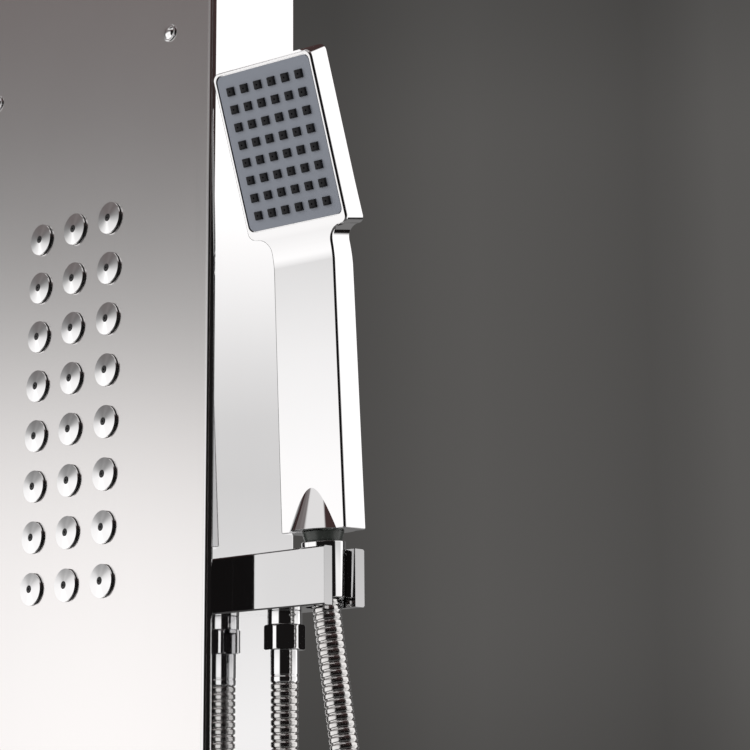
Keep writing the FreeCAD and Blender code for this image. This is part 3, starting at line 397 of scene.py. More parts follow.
def evaluated_mesh(piece):
    """The piece's mesh with its modifiers, as a plain mesh; the piece itself is removed."""
    bpy.context.view_layer.update()
    graph = bpy.context.evaluated_depsgraph_get()
    mesh = bpy.data.meshes.new_from_object(piece.evaluated_get(graph), depsgraph=graph)
    old = piece.data
    bpy.data.objects.remove(piece)
    if isinstance(old, bpy.types.Mesh):
        bpy.data.meshes.remove(old)
    return mesh


def shade(mesh, degrees=32.0):
    """Smooth shading with sharp edges above an angle."""
    mesh.shade_smooth()
    mesh.set_sharp_from_angle(angle=radians(degrees))
    return mesh


def soften(piece, width, segments, degrees):
    """Round the edges that are sharper than an angle."""
    soft = piece.modifiers.new("edges", "BEVEL")
    soft.width, soft.segments, soft.angle_limit = width, segments, radians(degrees)


def weighed_mesh(piece):
    """The piece's plain mesh, its normals led by its large faces; the piece is removed."""
    piece.modifiers.new("normals", "WEIGHTED_NORMAL").keep_sharp = True
    return evaluated_mesh(piece)


def mesh_of(name, points, faces):
    """A mesh whose faces all look outward."""
    mesh = bpy.data.meshes.new(name)
    mesh.from_pydata(points, [], faces)
    mesh.validate()
    work = bmesh.new()
    work.from_mesh(mesh)
    bmesh.ops.recalc_face_normals(work, faces=work.faces)
    work.to_mesh(mesh)
    work.free()
    return mesh


def circle(radius, height, count):
    """Points round Z."""
    turns = [2 * pi * k / count for k in range(count)]
    return [(radius * cos(turn), radius * sin(turn), height) for turn in turns]


def band(first, second, count):
    """Faces between two rings of points, each ring given by the place of its first point."""
    return [(first + k, first + (k + 1) % count, second + (k + 1) % count, second + k)
            for k in range(count)]


def rounded(half_across, half_up, corner, steps=8):
    """The outline of a rectangle with round corners, round its middle."""
    found = []
    for start, (side, level) in enumerate(((1, 1), (-1, 1), (-1, -1), (1, -1))):
        for k in range(steps + 1):
            angle = QUARTER * (start + k / steps)
            found.append((side * (half_across - corner) + corner * cos(angle),
                          level * (half_up - corner) + corner * sin(angle)))
    return found


def eased(profile, radius, steps=4):
    """Round the corners of a closed profile by up to a radius."""
    found, count = [], len(profile)
    for i, corner in enumerate(profile):
        here = Vector(corner)
        back, on = Vector(profile[i - 1]) - here, Vector(profile[(i + 1) % count]) - here
        if back.length < TINY or on.length < TINY or back.angle(on) > radians(165):
            found.append(tuple(here))
            continue
        reach = min(radius, back.length * 0.45, on.length * 0.45)
        start, end = here + back.normalized() * reach, here + on.normalized() * reach
        for k in range(steps + 1):
            t = k / steps
            found.append(tuple(start * (1 - t) ** 2 + here * 2 * t * (1 - t) + end * t ** 2))
    return found


def turned_mesh(name, profile, segments=72, ease=0.0):
    """Turn a profile of (radius, height) points round Z. One that starts on the axis is open
    and ends there too, and any other is closed and makes a ring."""
    closed = profile[0][0] > 0
    if ease:
        profile = eased(profile, ease)
    points, rings = [], []
    for radius, height in profile:
        count = segments if radius > TINY else 1
        rings.append((len(points), count))
        points += circle(radius, height, count)
    pairs = list(zip(rings, rings[1:]))
    if closed:
        pairs.append((rings[-1], rings[0]))
    faces = []
    for (low, low_count), (high, high_count) in pairs:
        if low_count == high_count == segments:
            faces += band(low, high, segments)
        elif high_count > 1:
            faces += [(low, high + (k + 1) % segments, high + k) for k in range(segments)]
        elif low_count > 1:
            faces += [(low + k, low + (k + 1) % segments, high) for k in range(segments)]
    return mesh_of(name, points, faces)


def nut_mesh(name, across, height, bore, turn_degrees):
    """A hexagon nut with turned chamfers and slightly worn corners."""
    segments, flat = 144, across / 2
    rows = [0.0, 0.15, 0.4, 0.8, 1.3, 2.0]
    rows += [height - rise for rise in reversed(rows)]

    def radius(turn, rise):
        inside = (turn - radians(turn_degrees)) % radians(60)
        hexagon, worn = flat / cos(inside - radians(30)), flat * 1.095
        chamfer = flat * 1.03 + min(rise, height - rise) * 1.3
        return min(hexagon, worn, chamfer)

    turns = [2 * pi * k / segments for k in range(segments)]
    points = [(radius(turn, rise) * cos(turn), radius(turn, rise) * sin(turn), rise)
              for rise in rows for turn in turns]
    points += circle(bore, height, segments) + circle(bore, 0.0, segments)
    rings, faces = len(rows) + 2, []
    for i in range(rings):
        faces += band(i * segments, (i + 1) % rings * segments, segments)
    return mesh_of(name, points, faces)


def put_turned(name, profile, place, body, node, material="chrome_plate",
               segments=72, ease=0.0):
    mesh = turned_mesh(name, profile, segments, ease)
    mesh.transform(place)
    put(name, shade(mesh), body, node, material)


def finished_copy(name, node, body, edge=0.0, angle=32.0, material="chrome_plate"):
    """A CAD piece with merged faces, softened edges and a smooth shade on its curves."""
    mesh = frame["nodes"][node].data.copy()
    work = bmesh.new()
    work.from_mesh(mesh)
    bmesh.ops.remove_doubles(work, verts=work.verts, dist=2 * TINY)
    bmesh.ops.dissolve_limit(work, angle_limit=radians(0.5), verts=work.verts, edges=work.edges)
    work.to_mesh(mesh)
    work.free()
    if "custom_normal" in mesh.attributes:
        mesh.attributes.remove(mesh.attributes["custom_normal"])
    piece = bench(name + "_bench", shade(mesh, angle))
    if edge:
        soften(piece, edge * MM, 3, angle)
    mesh = weighed_mesh(piece)
    mesh.name = name
    for face in mesh.polygons:
        face.use_smooth = True
    return put(name, mesh, body, node, material)


# ---- repeats ----
def grid_tree():
    """Geometry nodes that repeat a piece in columns and rows on an upright plane."""
    r = Recipe("rows_and_columns",
               {"Columns": 3, "Rows": 8, "Pitch Across": 32.0, "Pitch Up": 30.0})
    columns, rows = r.given["Columns"], r.given["Rows"]
    grid = r.value("GeometryNodeMeshGrid", {
        "Size X": (columns - 1) * r.given["Pitch Across"], "Vertices X": columns,
        "Size Y": (rows - 1) * r.given["Pitch Up"], "Vertices Y": rows})
    stand = r.value("GeometryNodeTransform", {"Geometry": grid, "Rotation": (QUARTER, 0, 0)})
    r.end(r.value("GeometryNodeInstanceOnPoints",
                  {"Points": stand, "Instance": r.given["Geometry"]}))


def ribbed_tree():
    """Geometry nodes that run a ribbed metal tube along a line of edges."""
    r = Recipe("ribbed_hose", {"Ribs": 200, "Rings In A Rib": 8, "Sides": 28,
                               "Crest Radius": 0.0074, "Root Radius": 0.0066})
    rings, crest = r.given["Rings In A Rib"], r.given["Crest Radius"]
    phase = r.value("GeometryNodeInputIndex").math("MODULO", rings)
    # From 1 in the groove between two ribs to 0 on the crest, and steep at the groove.
    off_crest = (phase * 2 / rings - 1).math("ABSOLUTE")
    sunk = (crest - r.given["Root Radius"]) * off_crest.math("POWER", RIB_STEEPNESS)
    line = r.value("GeometryNodeMeshToCurve", {0: r.given["Geometry"]})
    spaced = r.value("GeometryNodeResampleCurve",
                     {"Curve": line, "Count": r.given["Ribs"] * rings + 1})
    sized = r.value("GeometryNodeSetCurveRadius", {"Curve": spaced, "Radius": crest - sunk})
    ring = r.value("GeometryNodeCurvePrimitiveCircle",
                   {"Resolution": r.given["Sides"], "Radius": 1.0})
    tube = r.value("GeometryNodeCurveToMesh", {
        "Curve": sized, "Profile Curve": ring, "Scale": r.value("GeometryNodeInputRadius"),
        "Fill Caps": True})
    r.end(r.value("GeometryNodeSetShadeSmooth", {"Geometry": tube}))


def run_tree(name, mesh, tree_name, values):
    """Run a tree on a mesh once, and give the plain mesh that it makes."""
    piece = bench(name + "_bench", mesh)
    run = piece.modifiers.new("repeat", "NODES")
    run.node_group = bpy.data.node_groups[tree_name]
    sockets = {s.name: s.identifier for s in run.node_group.interface.items_tree
               if s.item_type == "SOCKET" and s.in_out == "INPUT"}
    for key, value in values.items():
        run[sockets[key]] = value
    made = evaluated_mesh(piece)
    made.name = name
    return made


def in_rows(name, unit, grid, place, body, node, material):
    """Repeat a unit mesh on an upright grid and set it in its place. The grid is the number of
    columns, that of rows, and the pitch across and up."""
    columns, rows, across, up = grid
    mesh = run_tree(name, unit, "rows_and_columns",
                    {"Columns": columns, "Rows": rows, "Pitch Across": across,
                     "Pitch Up": up, "Finish": FINISHES[material]})
    mesh.transform(place)
    put(name, shade(mesh, 35), body, node, material)


# ---- what the user can set ----
class PanelSizes(bpy.types.PropertyGroup):
    """Sizes of the repeated and turned details."""

    jet_columns: IntProperty(name="Jet Columns", description="Upright rows of jets", default=3,
                             min=1)
    jet_rows: IntProperty(name="Jet Rows", description="Jets in each upright row", default=8,
                          min=1)
    jet_across: FloatProperty(name="Jet Pitch Across", description="Between columns, in mm",
                              default=32.0)
    jet_up: FloatProperty(name="Jet Pitch Up", description="Between rows, in mm", default=30.0)
    jet_radius: FloatProperty(name="Jet Radius", description="Of a jet's round face, in mm",
                              default=9.4)
    jet_dome: FloatProperty(name="Jet Dome", description="Rise of the face above its rim, in mm",
                            default=1.8)
    stud_pitch: FloatProperty(name="Stud Pitch",
                              description="Of the hand shower's studs along it, in mm",
                              default=9.6)
    stud_size: FloatProperty(name="Stud Size", description="Width of a stud, in mm", default=4.6)
    rib_pitch: FloatProperty(name="Rib Pitch", description="Of the hose, in metres",
                             default=0.0037, subtype="DISTANCE", unit="LENGTH")
    hose_radius: FloatProperty(name="Hose Radius", description="Outside, in metres",
                               default=0.0074, subtype="DISTANCE", unit="LENGTH")


class PanelLook(bpy.types.PropertyGroup):
    """Colours and polish of the panel."""

    steel: FloatVectorProperty(name="Steel", description="Colour of the satin steel", size=3,
                               subtype="COLOR", default=(0.80, 0.785, 0.78))
    chrome: FloatVectorProperty(name="Chrome", description="Colour of the polished metal", size=3,
                                subtype="COLOR", default=(0.87, 0.87, 0.875))
    face: FloatVectorProperty(name="Spray Face", description="Colour of the spray plate", size=3,
                              subtype="COLOR", default=(0.244, 0.264, 0.310))
    stud: FloatVectorProperty(name="Stud", description="Colour of the soft studs", size=3,
                              subtype="COLOR", default=(0.009, 0.009, 0.011))
    satin: FloatProperty(name="Satin", description="Roughness of the column's face", default=0.20,
                         min=0.0, max=1.0, subtype="FACTOR")


# ---- operators ----
class SHOWER_OT_mix_finishes(bpy.types.Operator):
    """Make the metals, plastics and rubbers of the panel, and the trees that repeat pieces"""
    bl_idname = "shower.mix_finishes"
    bl_label = "Mix Finishes"

    def execute(self, context):
        mix_finishes(context.scene.panel_look)
        grid_tree()
        ribbed_tree()
        return {"FINISHED"}


class SHOWER_OT_place_camera(bpy.types.Operator):
    """Place the camera where the photograph was taken"""
    bl_idname = "shower.place_camera"
    bl_label = "Place Camera"

    def execute(self, context):
        level = cos(CAMERA_RISE)
        ahead = Vector((-sin(CAMERA_TURN) * level, cos(CAMERA_TURN) * level, sin(CAMERA_RISE)))
        right = ahead.cross(Vector((0, 0, 1))).normalized()
        up = right.cross(ahead)
        right, up = (cos(CAMERA_ROLL) * right + sin(CAMERA_ROLL) * up,
                     cos(CAMERA_ROLL) * up - sin(CAMERA_ROLL) * right)
        lens = bpy.data.cameras.new("photo_camera")
        lens.lens, lens.clip_start, lens.clip_end = CAMERA_LENS, 0.01, 50.0
        camera = bench("photo_camera", lens)
        place = Matrix((right, up, -ahead)).transposed().to_4x4()
        place.translation = CAMERA_PLACE * MM
        camera.matrix_world = place
        context.scene.camera = camera
        return {"FINISHED"}


class SHOWER_OT_set_jets(bpy.types.Operator):
    """Set the domed jets with their soft tips, and the cap screws above and below them"""
    bl_idname = "shower.set_jets"
    bl_label = "Set Jets"

    def execute(self, context):
        s = context.scene.panel_sizes
        jets = (s.jet_columns, s.jet_rows, s.jet_across, s.jet_up)
        screws = (2, 2, SCREWS_ACROSS, SCREWS_UP)
        # The profiles are turned round Z, which then points out of the column's face.
        bore, rim = 2.15, s.jet_radius
        crown = 0.8 + s.jet_dome
        face = [(q, crown - 0.086 * q - 0.0024 * q * q)
                for q in (rim - 0.06, rim - 0.2, 8.2, 7.0, 5.8, 4.6, 3.4, 2.25)]
        dome = [(bore, 0.4), (8.6, 0.4), (rim - 0.15, 0.6), (rim, 0.75), (rim, face[0][1] - 0.08),
                *face, (bore, crown - 0.38)]
        # A black ring under each dome, whose edge shows as a dark line round the rim: painted
        # shade for the gap under the rim.
        rim_shade_ring = [(0, -8.0), (5.0, -8.0), (5.0, -0.05), (rim - 0.3, -0.05), (rim - 0.08, 0.1),
                (rim - 0.08, 0.7), (0, 0.7)]
        top, tip_radius = crown + 0.1, 2.1
        tip = [(0, top - 1.2), (0.5, top - 1.2), (0.55, top - 0.1), (0.7, top), (1.5, top - 0.04),
               (1.9, top - 0.17), (tip_radius, top - 0.5), (tip_radius, 0.5), (0, 0.5)]
        height, radius, collar = 2.5, 3.9, 0.9
        ball = (radius ** 2 + (height - collar) ** 2) / (2 * (height - collar))
        head = [(q, height - ball + sqrt(ball * ball - q * q))
                for q in (3.85, 3.6, 3.1, 2.5, 1.7, 0.9)]
        cap = [(0, -33.0), (2.0, -33.0), (2.0, -0.02), (5.1, -0.02), (5.25, 0.15), (5.2, 0.5),
               (4.95, 0.85), (4.5, 1.0), (4.05, collar), *head, (0, height)]
        for name, profile, segments, grid, node, material, slot in (
                ("jet_domes", dome, 64, jets, "jet_bodies", "chrome_plate", "chrome"),
                ("jet_seals", rim_shade_ring, 48, jets, "jet_bodies", "black_rubber", "black_washer"),
                ("jet_soft_tips", tip, 32, jets, "jet_tips", "soft_jet_tip", "dark_tip"),
                ("cap_screws", cap, 48, screws, "carrier_screws", "chrome_plate", "chrome")):
            unit = turned_mesh(name + "_unit", profile, segments)
            unit.transform(Matrix.Rotation(QUARTER, 4, "X"))
            in_rows(name, unit, grid, upright_at(*JET_MIDDLE), "column", node, material)
        return {"FINISHED"}


class SHOWER_OT_dress_column(bpy.types.Operator):
    """Give the bent sheet a satin face and polished sides"""
    bl_idname = "shower.dress_column"
    bl_label = "Dress Column"

    def execute(self, context):
        shell = finished_copy("panel_sheet", "column_shell", "column", angle=40.0,
                              material="satin_steel_front")
        # The sheet is pressed over a softer edge than its drawing shows.
        for point in shell.data.vertices:
            across, out = SIDE_X - abs(point.co.x) / MM, point.co.y / MM - FACE_Y
            for depth, radius in ((0.0, BEND_OUTER), (SHEET, BEND_OUTER - SHEET)):
                past = Vector((across - depth - radius, out - depth - radius))
                if abs(past.length - radius) < 0.06 and past.x < 0.01 and past.y < 0.01:
                    wide = (SOFT_BEND - depth) / radius
                    across, out = depth + (across - depth) * wide, depth + (out - depth) * wide
                    point.co.x = copysign(SIDE_X - across, point.co.x) * MM
                    point.co.y = (FACE_Y + out) * MM
                    break
        for extra in ("mirror_steel_side", "mill_steel_inside"):
            shell.data.materials.append(FINISHES[extra])
        for face in shell.data.polygons:
            out, middle = face.normal, face.center / MM
            sideways = abs(out.x) > 0.3
            outside = (sideways and abs(middle.x) > SIDE_X - 1.0) or (
                out.y < -0.3 and middle.y < FACE_Y + 1.0)
            if not outside:
                face.material_index = 2
            elif sideways:
                face.material_index = 1
        for node in ("top_end_pan", "bottom_end_pan"):
            finished_copy(node + "_sheet", node, "column", angle=40.0,
                          material="mill_steel_inside")
        return {"FINISHED"}


class SHOWER_OT_dress_bracket(bpy.types.Operator):
    """Polish the bracket, and turn its outlet, the hose's nut and the ferrule"""
    bl_idname = "shower.dress_bracket"
    bl_label = "Dress Bracket"

    def execute(self, context):
        bar = finished_copy("bracket_polished", "bracket_bar", "column", edge=0.25,
                            material="bracket_chrome")
        # The bar's rim closes over its gasket, down to 0.05 mm from the column's side.
        for point in bar.data.vertices:
            if 0 < point.co.x / MM - SIDE_X < 1.6:
                point.co.x += (0.05 - 1.0) * MM
        put_turned("outlet_collar_turned", [
            (5.3, COLLAR_HEIGHT), (9.25, COLLAR_HEIGHT), (9.25, 0.0), (8.33, 0.0), (8.33, -7.8),
            (5.3, -7.8)], upright_at(OUTLET_X, BRACKET_Y, COLLAR_FOOT), "column",
            "outlet_nipple", ease=0.45)
        nut = nut_mesh("outlet_nut_turned", 20.0, NUT_HEIGHT, 6.7, 47.6)
        nut.transform(upright_at(OUTLET_X, BRACKET_Y, NUT_FOOT))
        put("outlet_nut_turned", shade(nut, 24), "column", "outlet_nut")
        put_turned("outlet_ferrule_turned", [
            (4.3, SLEEVE_HEIGHT), (7.6, SLEEVE_HEIGHT), (7.6, 4.4), (7.42, 4.1), (7.42, 3.5),
            (7.6, 3.2), (7.6, 0.9), (7.15, 0.0), (4.3, 0.0)],
            upright_at(OUTLET_X, BRACKET_Y, SLEEVE_FOOT), "column", "outlet_ferrule", ease=0.25)
        return {"FINISHED"}


def share(value, start, end):
    """How far a value is from a start to an end, from 0 to 1."""
    return min(1.0, max(0.0, (value - start) / (end - start)))


def arc_height(radius, off):
    return sqrt(max(0.0, radius ** 2 - off ** 2))


def handset_mesh():
    """The hand shower's body: one skin from its foot, through the bend and the two shoulders,
    to the top of its head, with the spray plate's pocket and the round foot. Its sections
    stand at distances along the front skin."""
    bend_height, bend_radius, head_start = 151.0, 58.0, 10.03
    tangent = bend_radius * tan(HEAD_BEND / 2)
    arc_start = bend_height - tangent
    arc_end = arc_start + bend_radius * HEAD_BEND
    head_low = arc_end + head_start - tangent
    top = head_low + HEAD_LENGTH
    shoulder, corner, drop = 8.5, 4.0, 2.0
    foot_half, handle_half, head_half = 20.3, 19.8, 32.2
    steep = acos(1 - (head_half - handle_half) / (shoulder + corner))
    s_mid = head_low - drop
    s_low, s_high = s_mid - shoulder * sin(steep), s_mid + corner * sin(steep)
    top_corner = top - corner

    def place(s):
        """The front skin's middle, and how far it leans."""
        turn, past = HEAD_BEND * share(s, arc_start, arc_end), max(0.0, s - arc_end)
        y = -9.6 + 0.5 * s / bend_height if s <= arc_start else -9.1
        return (y - bend_radius * (1 - cos(turn)) - past * sin(turn),
                min(s, arc_start) + bend_radius * sin(turn) + past * cos(turn), turn)

    def half_width(s):
        if s <= s_low:
            return foot_half + (handle_half - foot_half) * s / s_low
        if s <= s_mid:
            return handle_half + shoulder - arc_height(shoulder, s - s_low)
        return head_half - corner + arc_height(corner, max(0.0, s_high - s, s - top_corner))

    def thickness(s):
        t = share(s, 140.0, 172.0)
        return 20.0 - s / bend_height if t == 0 else 19.0 - 2.2 * t * t * (3 - 2 * t)

    # The distances of the sections, each with its inset where the ends are rounded.
    worn = ((0.0, 0.7), (0.12, 0.4), (0.35, 0.17))
    insets = {0.7: 0.0, **dict(worn)}
    insets.update({s * arc_start / 10: 0.0 for s in range(1, 10)})
    insets.update({arc_start + (arc_end - arc_start) * k / 8: 0.0 for k in range(9)})
    insets.update({s_low + shoulder * sin(steep * k / 14): 0.0 for k in range(15)})
    insets.update({s_high - corner * sin(steep * k / 10): 0.0 for k in range(11)})
    insets.update({s_high + (top_corner - s_high) * k / 5: 0.0 for k in range(6)})
    insets.update({top_corner + corner * sin(radians(7 * k)): 0.0 for k in range(12)})
    insets.update({top - s: inset for s, inset in worn})
    sections = []
    for s in sorted(insets):
        if not sections or s - sections[-1] > 0.03:
            sections.append(s)
    edge, points, faces = 1.5, [], []
    for s in sections:
        inset = insets[s]
        y, z, turn = place(s)
        lie = (SHOULDER_LIE * share(s, arc_start, s_low)
               + (HEAD_TOP_LIE - SHOULDER_LIE) * share(s, s_high + 4.0, top_corner))
        aside = HEAD_ASIDE * share(s, arc_start, s_high)
        deep = thickness(s) / cos(turn - lie) - 2 * inset
        for x, n in rounded(half_width(s) - inset, deep / 2, edge):
            n -= deep / 2 + inset
            points.append((aside + x, y - n * cos(lie), z - n * sin(lie)))
    around = len(points) // len(sections)
    for i in range(len(sections) - 1):
        faces += band(i * around, (i + 1) * around, around)
    faces += [tuple(range(around)), tuple(reversed(range(len(points) - around, len(points))))]
    piece = bench("handset_bench", shade(mesh_of("handset_skin", points, faces), 35))

    y, z, _ = place(head_low)
    pocket = pocket_mesh()
    pocket.transform(Matrix.Translation((HEAD_ASIDE, y, z)) @ Matrix.Rotation(HEAD_BEND, 4, "X"))
    foot = turned_mesh("handset_foot", [
        (0, 0.25), (17.3, 0.25), (17.6, 0.6), (7.0, 29.1), (0, 29.1)], 160)
    tools = [bench(mesh.name + "_bench", shade(mesh)) for mesh in (pocket, foot)]
    for tool, operation in zip(tools, ("DIFFERENCE", "UNION")):
        joined = piece.modifiers.new(operation.lower(), "BOOLEAN")
        joined.operation, joined.object = operation, tool
    soften(piece, 0.3, 2, 55)
    made = weighed_mesh(bench("handset_bench", shade(evaluated_mesh(piece), 15)))
    for tool in tools:
        bpy.data.objects.remove(tool)
    made.transform(handset_frame())
    return made


def pocket_mesh():
    """The spray plate's pocket in the head's frame, as a closed block with round corners."""
    half, low, high, corner = 30.25, 2.35, 87.45, 3.7
    middle = (low + high) / 2
    outline = rounded(half, high - middle, corner)
    count = len(outline)
    points = [(x, y, middle + z) for y in (-4.0, 2.45) for x, z in outline]
    faces = band(0, count, count)
    faces += [tuple(range(count)), tuple(reversed(range(count, 2 * count)))]
    return mesh_of("pocket", points, faces)


def stud_mesh(name, size, stand, base, hole):
    """A soft square stud with a small hole, standing out at -Y."""
    half = size / 2
    loops = [(half, base), (half, 0.0), (half * 0.9, -stand * 0.8), (half * 0.76, -stand),
             (hole, -stand), (hole * 0.8, -stand + 0.9)]
    points = [(x * reach, y, z * reach) for reach, y in loops
              for x, z in ((-1, -1), (1, -1), (1, 1), (-1, 1))]
    last, faces = len(points) - 4, []
    for i in range(0, last, 4):
        faces += band(i, i + 4, 4)
    faces += [(0, 1, 2, 3), (last, last + 3, last + 2, last + 1)]
    return mesh_of(name, points, faces)


class SHOWER_OT_dress_handset(bpy.types.Operator):
    """Finish the hand shower, its spray plate and studs, and the hose's conical nut"""
    bl_idname = "shower.dress_handset"
    bl_label = "Dress Hand Shower"

    def execute(self, context):
        s = context.scene.panel_sizes
        put("handset_polished", handset_mesh(), "hand_shower", "handset_body")
        plate = finished_copy("spray_face", "spray_plate", "hand_shower", edge=0.2, angle=50.0,
                              material="grey_spray_face")
        aside = head_frame() @ Matrix.Translation((HEAD_ASIDE, 0, 0)) @ head_frame().inverted()
        plate.data.transform(aside)
        in_rows("soft_studs", stud_mesh("stud", s.stud_size, 1.0, 2.4, 0.45),
                (6, 8, 8.85, s.stud_pitch),
                aside @ head_frame() @ Matrix.Translation((0, 0, HEAD_LENGTH / 2)),
                "hand_shower", "spray_studs", "soft_stud")
        # The ring fills the gap over the conical nut, but for a thin line.
        ring_foot = -(RING_HEIGHT + RING_GAP - 0.06)
        put_turned("handset_ring_turned", [
            (6.6, 0.0), (11.2, 0.0), (9.6, ring_foot), (6.6, ring_foot)], handset_frame(),
            "hand_shower", "inlet_ring", "grey_ring", ease=0.4)
        bottom, step, seat = CONE_TOP - CONE_HEIGHT, CONE_TOP - 22.2, CONE_TOP - 12.0
        put_turned("conical_nut_turned", [
            (9.4, CONE_TOP), (11.6, CONE_TOP), (10.3, bottom), (8.9, bottom), (8.9, step),
            (4.2, step), (4.2, seat), (9.4, seat)], socket_frame(), "hose_end", "cone_nut",
            segments=96, ease=0.5)
        return {"FINISHED"}


def route_line():
    """The hose's smooth line, as points in metres read from its spline."""
    curve = bpy.data.curves.new("hose_route", "CURVE")
    curve.dimensions, curve.resolution_u = "3D", 24
    spline = curve.splines.new("NURBS")
    spline.points.add(len(HOSE_ROUTE) - 1)
    for point, place in zip(spline.points, HOSE_ROUTE):
        point.co = (*(c * MM for c in place), 1.0)
    spline.order_u, spline.use_endpoint_u = 3, True
    mesh = evaluated_mesh(bench("hose_route_bench", curve))
    line = [v.co.copy() for v in mesh.vertices]
    bpy.data.meshes.remove(mesh)
    return line


class SHOWER_OT_hang_hose(bpy.types.Operator):
    """Hang the ribbed hose from the bracket's outlet round to the conical nut"""
    bl_idname = "shower.hang_hose"
    bl_label = "Hang Hose"

    def execute(self, context):
        sizes = context.scene.panel_sizes
        pieces = bpy.data.objects
        line = route_line()
        lowest = min(range(len(line)), key=lambda i: line[i].z)
        # The hanging half is attached to the column, and the rising half is left where it lies.
        for name, part, held in (
                ("hose_hanging", line[:lowest + 1],
                 [pieces["outlet_ferrule_turned"], pieces["outlet_nut_turned"]]),
                ("hose_rising", line[lowest:],
                 [pieces["conical_nut_turned"], frame["nodes"]["hose_end_ferrule"]])):
            path = [tuple(p) for p in part]
            length = sum((b - a).length for a, b in zip(part, part[1:]))
            wire = bpy.data.meshes.new(name + "_line")
            wire.from_pydata(path, [(i, i + 1) for i in range(len(path) - 1)], [])
            piece = bench(name, run_tree(name, wire, "ribbed_hose", {
                "Ribs": round(length / sizes.rib_pitch),
                "Crest Radius": sizes.hose_radius,
                "Root Radius": sizes.hose_radius - RIB_DEPTH_IN_METRES,
                "Finish": FINISHES["hose_steel"]}))
            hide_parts("hose")
            if name == "hose_hanging":
                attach(piece, "column")
            else:
                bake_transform(piece)
        return {"FINISHED"}


class SHOWER_OT_dress_rain_head(bpy.types.Operator):
    """Finish the arm, its rosette and the rain head with its soft nozzles"""
    bl_idname = "shower.dress_rain_head"
    bl_label = "Dress Rain Head"

    def execute(self, context):
        finished_copy("arm_polished", "rain_arm", "column", 0.6, 30.0)
        finished_copy("rosette_polished", "arm_flange", "column", 0.5)
        finished_copy("cup_polished", "ball_cup", "rain_head", 0.4)
        finished_copy("rain_shell_polished", "rain_body", "rain_head", 0.5)
        finished_copy("rain_face", "rain_plate", "rain_head", 0.3, material="mill_steel_inside")
        # The grid stands upright and is laid flat, with the nozzles' tips down.
        place = (upright_at(0.0, BALL.y, BALL.z - RAIN_FACE_BELOW_BALL)
                 @ Matrix.Rotation(QUARTER, 4, "X"))
        in_rows("rain_soft_nozzles", stud_mesh("nozzle", 4.0, 1.6, 0.0, 0.6), (7, 7, 28.0, 28.0),
                place, "rain_head", "rain_nozzles", "soft_stud")
        return {"FINISHED"}


class SHOWER_OT_dress_valves(bpy.types.Operator):
    """Finish the mixer with its lever, and the diverter with its knob"""
    bl_idname = "shower.dress_valves"
    bl_label = "Dress Valves"

    def execute(self, context):
        for node, body, edge in (("mixer_plate", "column", 0.6), ("diverter_plate", "column", 0.6),
                                 ("mixer_turret", "mixer_turret_body", 0.5),
                                 ("mixer_lever", "mixer_lever_body", 0.4),
                                 ("diverter_knob", "diverter_knob_body", 0.8)):
            finished_copy(node + "_polished", node, body, edge)
        return {"FINISHED"}


# The CAD nodes that are shown as they are, by their finish.
CARRIED_OVER = {
    "mill_steel_inside": ("wall_hanger", "hanger_crossbar", "foot_bracket", "manifold_carrier",
                          "hose_end_ferrule"),
    "zinc_plate": ("carrier_standoffs", "carrier_nuts", "lever_pin"),
    "raw_brass": ("bracket_nut", "arm_nut", "mixer_body", "diverter_body", "hot_inlet",
                  "cold_inlet", "inlet_tube"),
    "chrome_plate": ("link_pipe", "jet_feed_pipe", "riser_pipe", "bracket_feed_pipe"),
    "white_plastic": ("jet_manifold", "mixer_cartridge", "diverter_cartridge",
                      "lower_ball_seat", "upper_ball_seat"),
    "black_rubber": ("bracket_gasket", "outlet_washer", "cone_washer"),
}


class SHOWER_OT_dress_inside(bpy.types.Operator):
    """Give the brackets, pipes and valve bodies inside the column their finishes"""
    bl_idname = "shower.dress_inside"
    bl_label = "Dress Inside"

    def execute(self, context):
        for name, nodes in CARRIED_OVER.items():
            for node in nodes:
                piece = frame["nodes"][node]
                if not piece.material_slots:
                    piece.data.materials.append(FINISHES[name])
                for held in piece.material_slots:
                    held.material = FINISHES[name]
        return {"FINISHED"}


# What the mirrors see of the room, as pairs of degrees and levels. Heights are degrees above
# the horizon, and turns are degrees round the panel.
FRONT_CARD = (
    (-70, 0.09), (-44, 0.12), (-36, 1.10), (-12, 1.15), (1.4, 1.15), (3.3, 1.13), (7.0, 1.07),
    (8.8, 0.95), (10.7, 0.82), (12.5, 0.58), (14.4, 0.40), (18.1, 0.23), (20.5, 0.165),
    (24, 0.125), (31, 0.125), (35, 0.20), (62, 0.30), (90, 1.0))
FRONT_CARD_ACROSS = (
    (-90, 1.0), (-59, 1.0), (-55, 1.05), (-51, 1.24), (-48.5, 1.16), (-46, 1.0), (-36, 0.95),
    (0, 0.95))
NEAR_CARD = (
    (-70, 0.09), (-44, 0.12), (-36, 1.18), (-24, 1.18), (-14, 1.06), (-2, 1.14), (3.2, 1.18),
    (5.1, 1.16), (6.9, 1.10), (8.8, 1.03), (11, 0.90), (14, 0.62), (18, 0.33), (30, 0.12))
SIDE_CARD = (
    (-44, 0.06), (-30, 1.0), (1.4, 1.04), (3.3, 0.98), (5.1, 0.90), (6.9, 0.80), (8.8, 0.74),
    (10.7, 0.76), (12.55, 0.87), (14.4, 1.01), (18.0, 1.28), (40, 1.2), (60, 0.4))
# And what the camera sees of it: a dark backdrop with painted light and shade in a few broad
# upright bands.
BACKDROP_SHADING = (
    (-175, 0.070), (-152, 0.104), (-148.6, 0.100), (-147.2, 0.084), (-146.2, 0.078),
    (-144.4, 0.086), (-142.6, 0.092), (-140.7, 0.097), (-139.2, 0.092), (-137.6, 0.080),
    (-136.2, 0.070))
FLOOR_REACH, FLOOR_GAP = 4.0, 0.002  # in metres
LAMP_PLACE, LAMP_AIM = Vector((-1.4, -2.4, 0.6)), Vector((0, 0, -0.5))


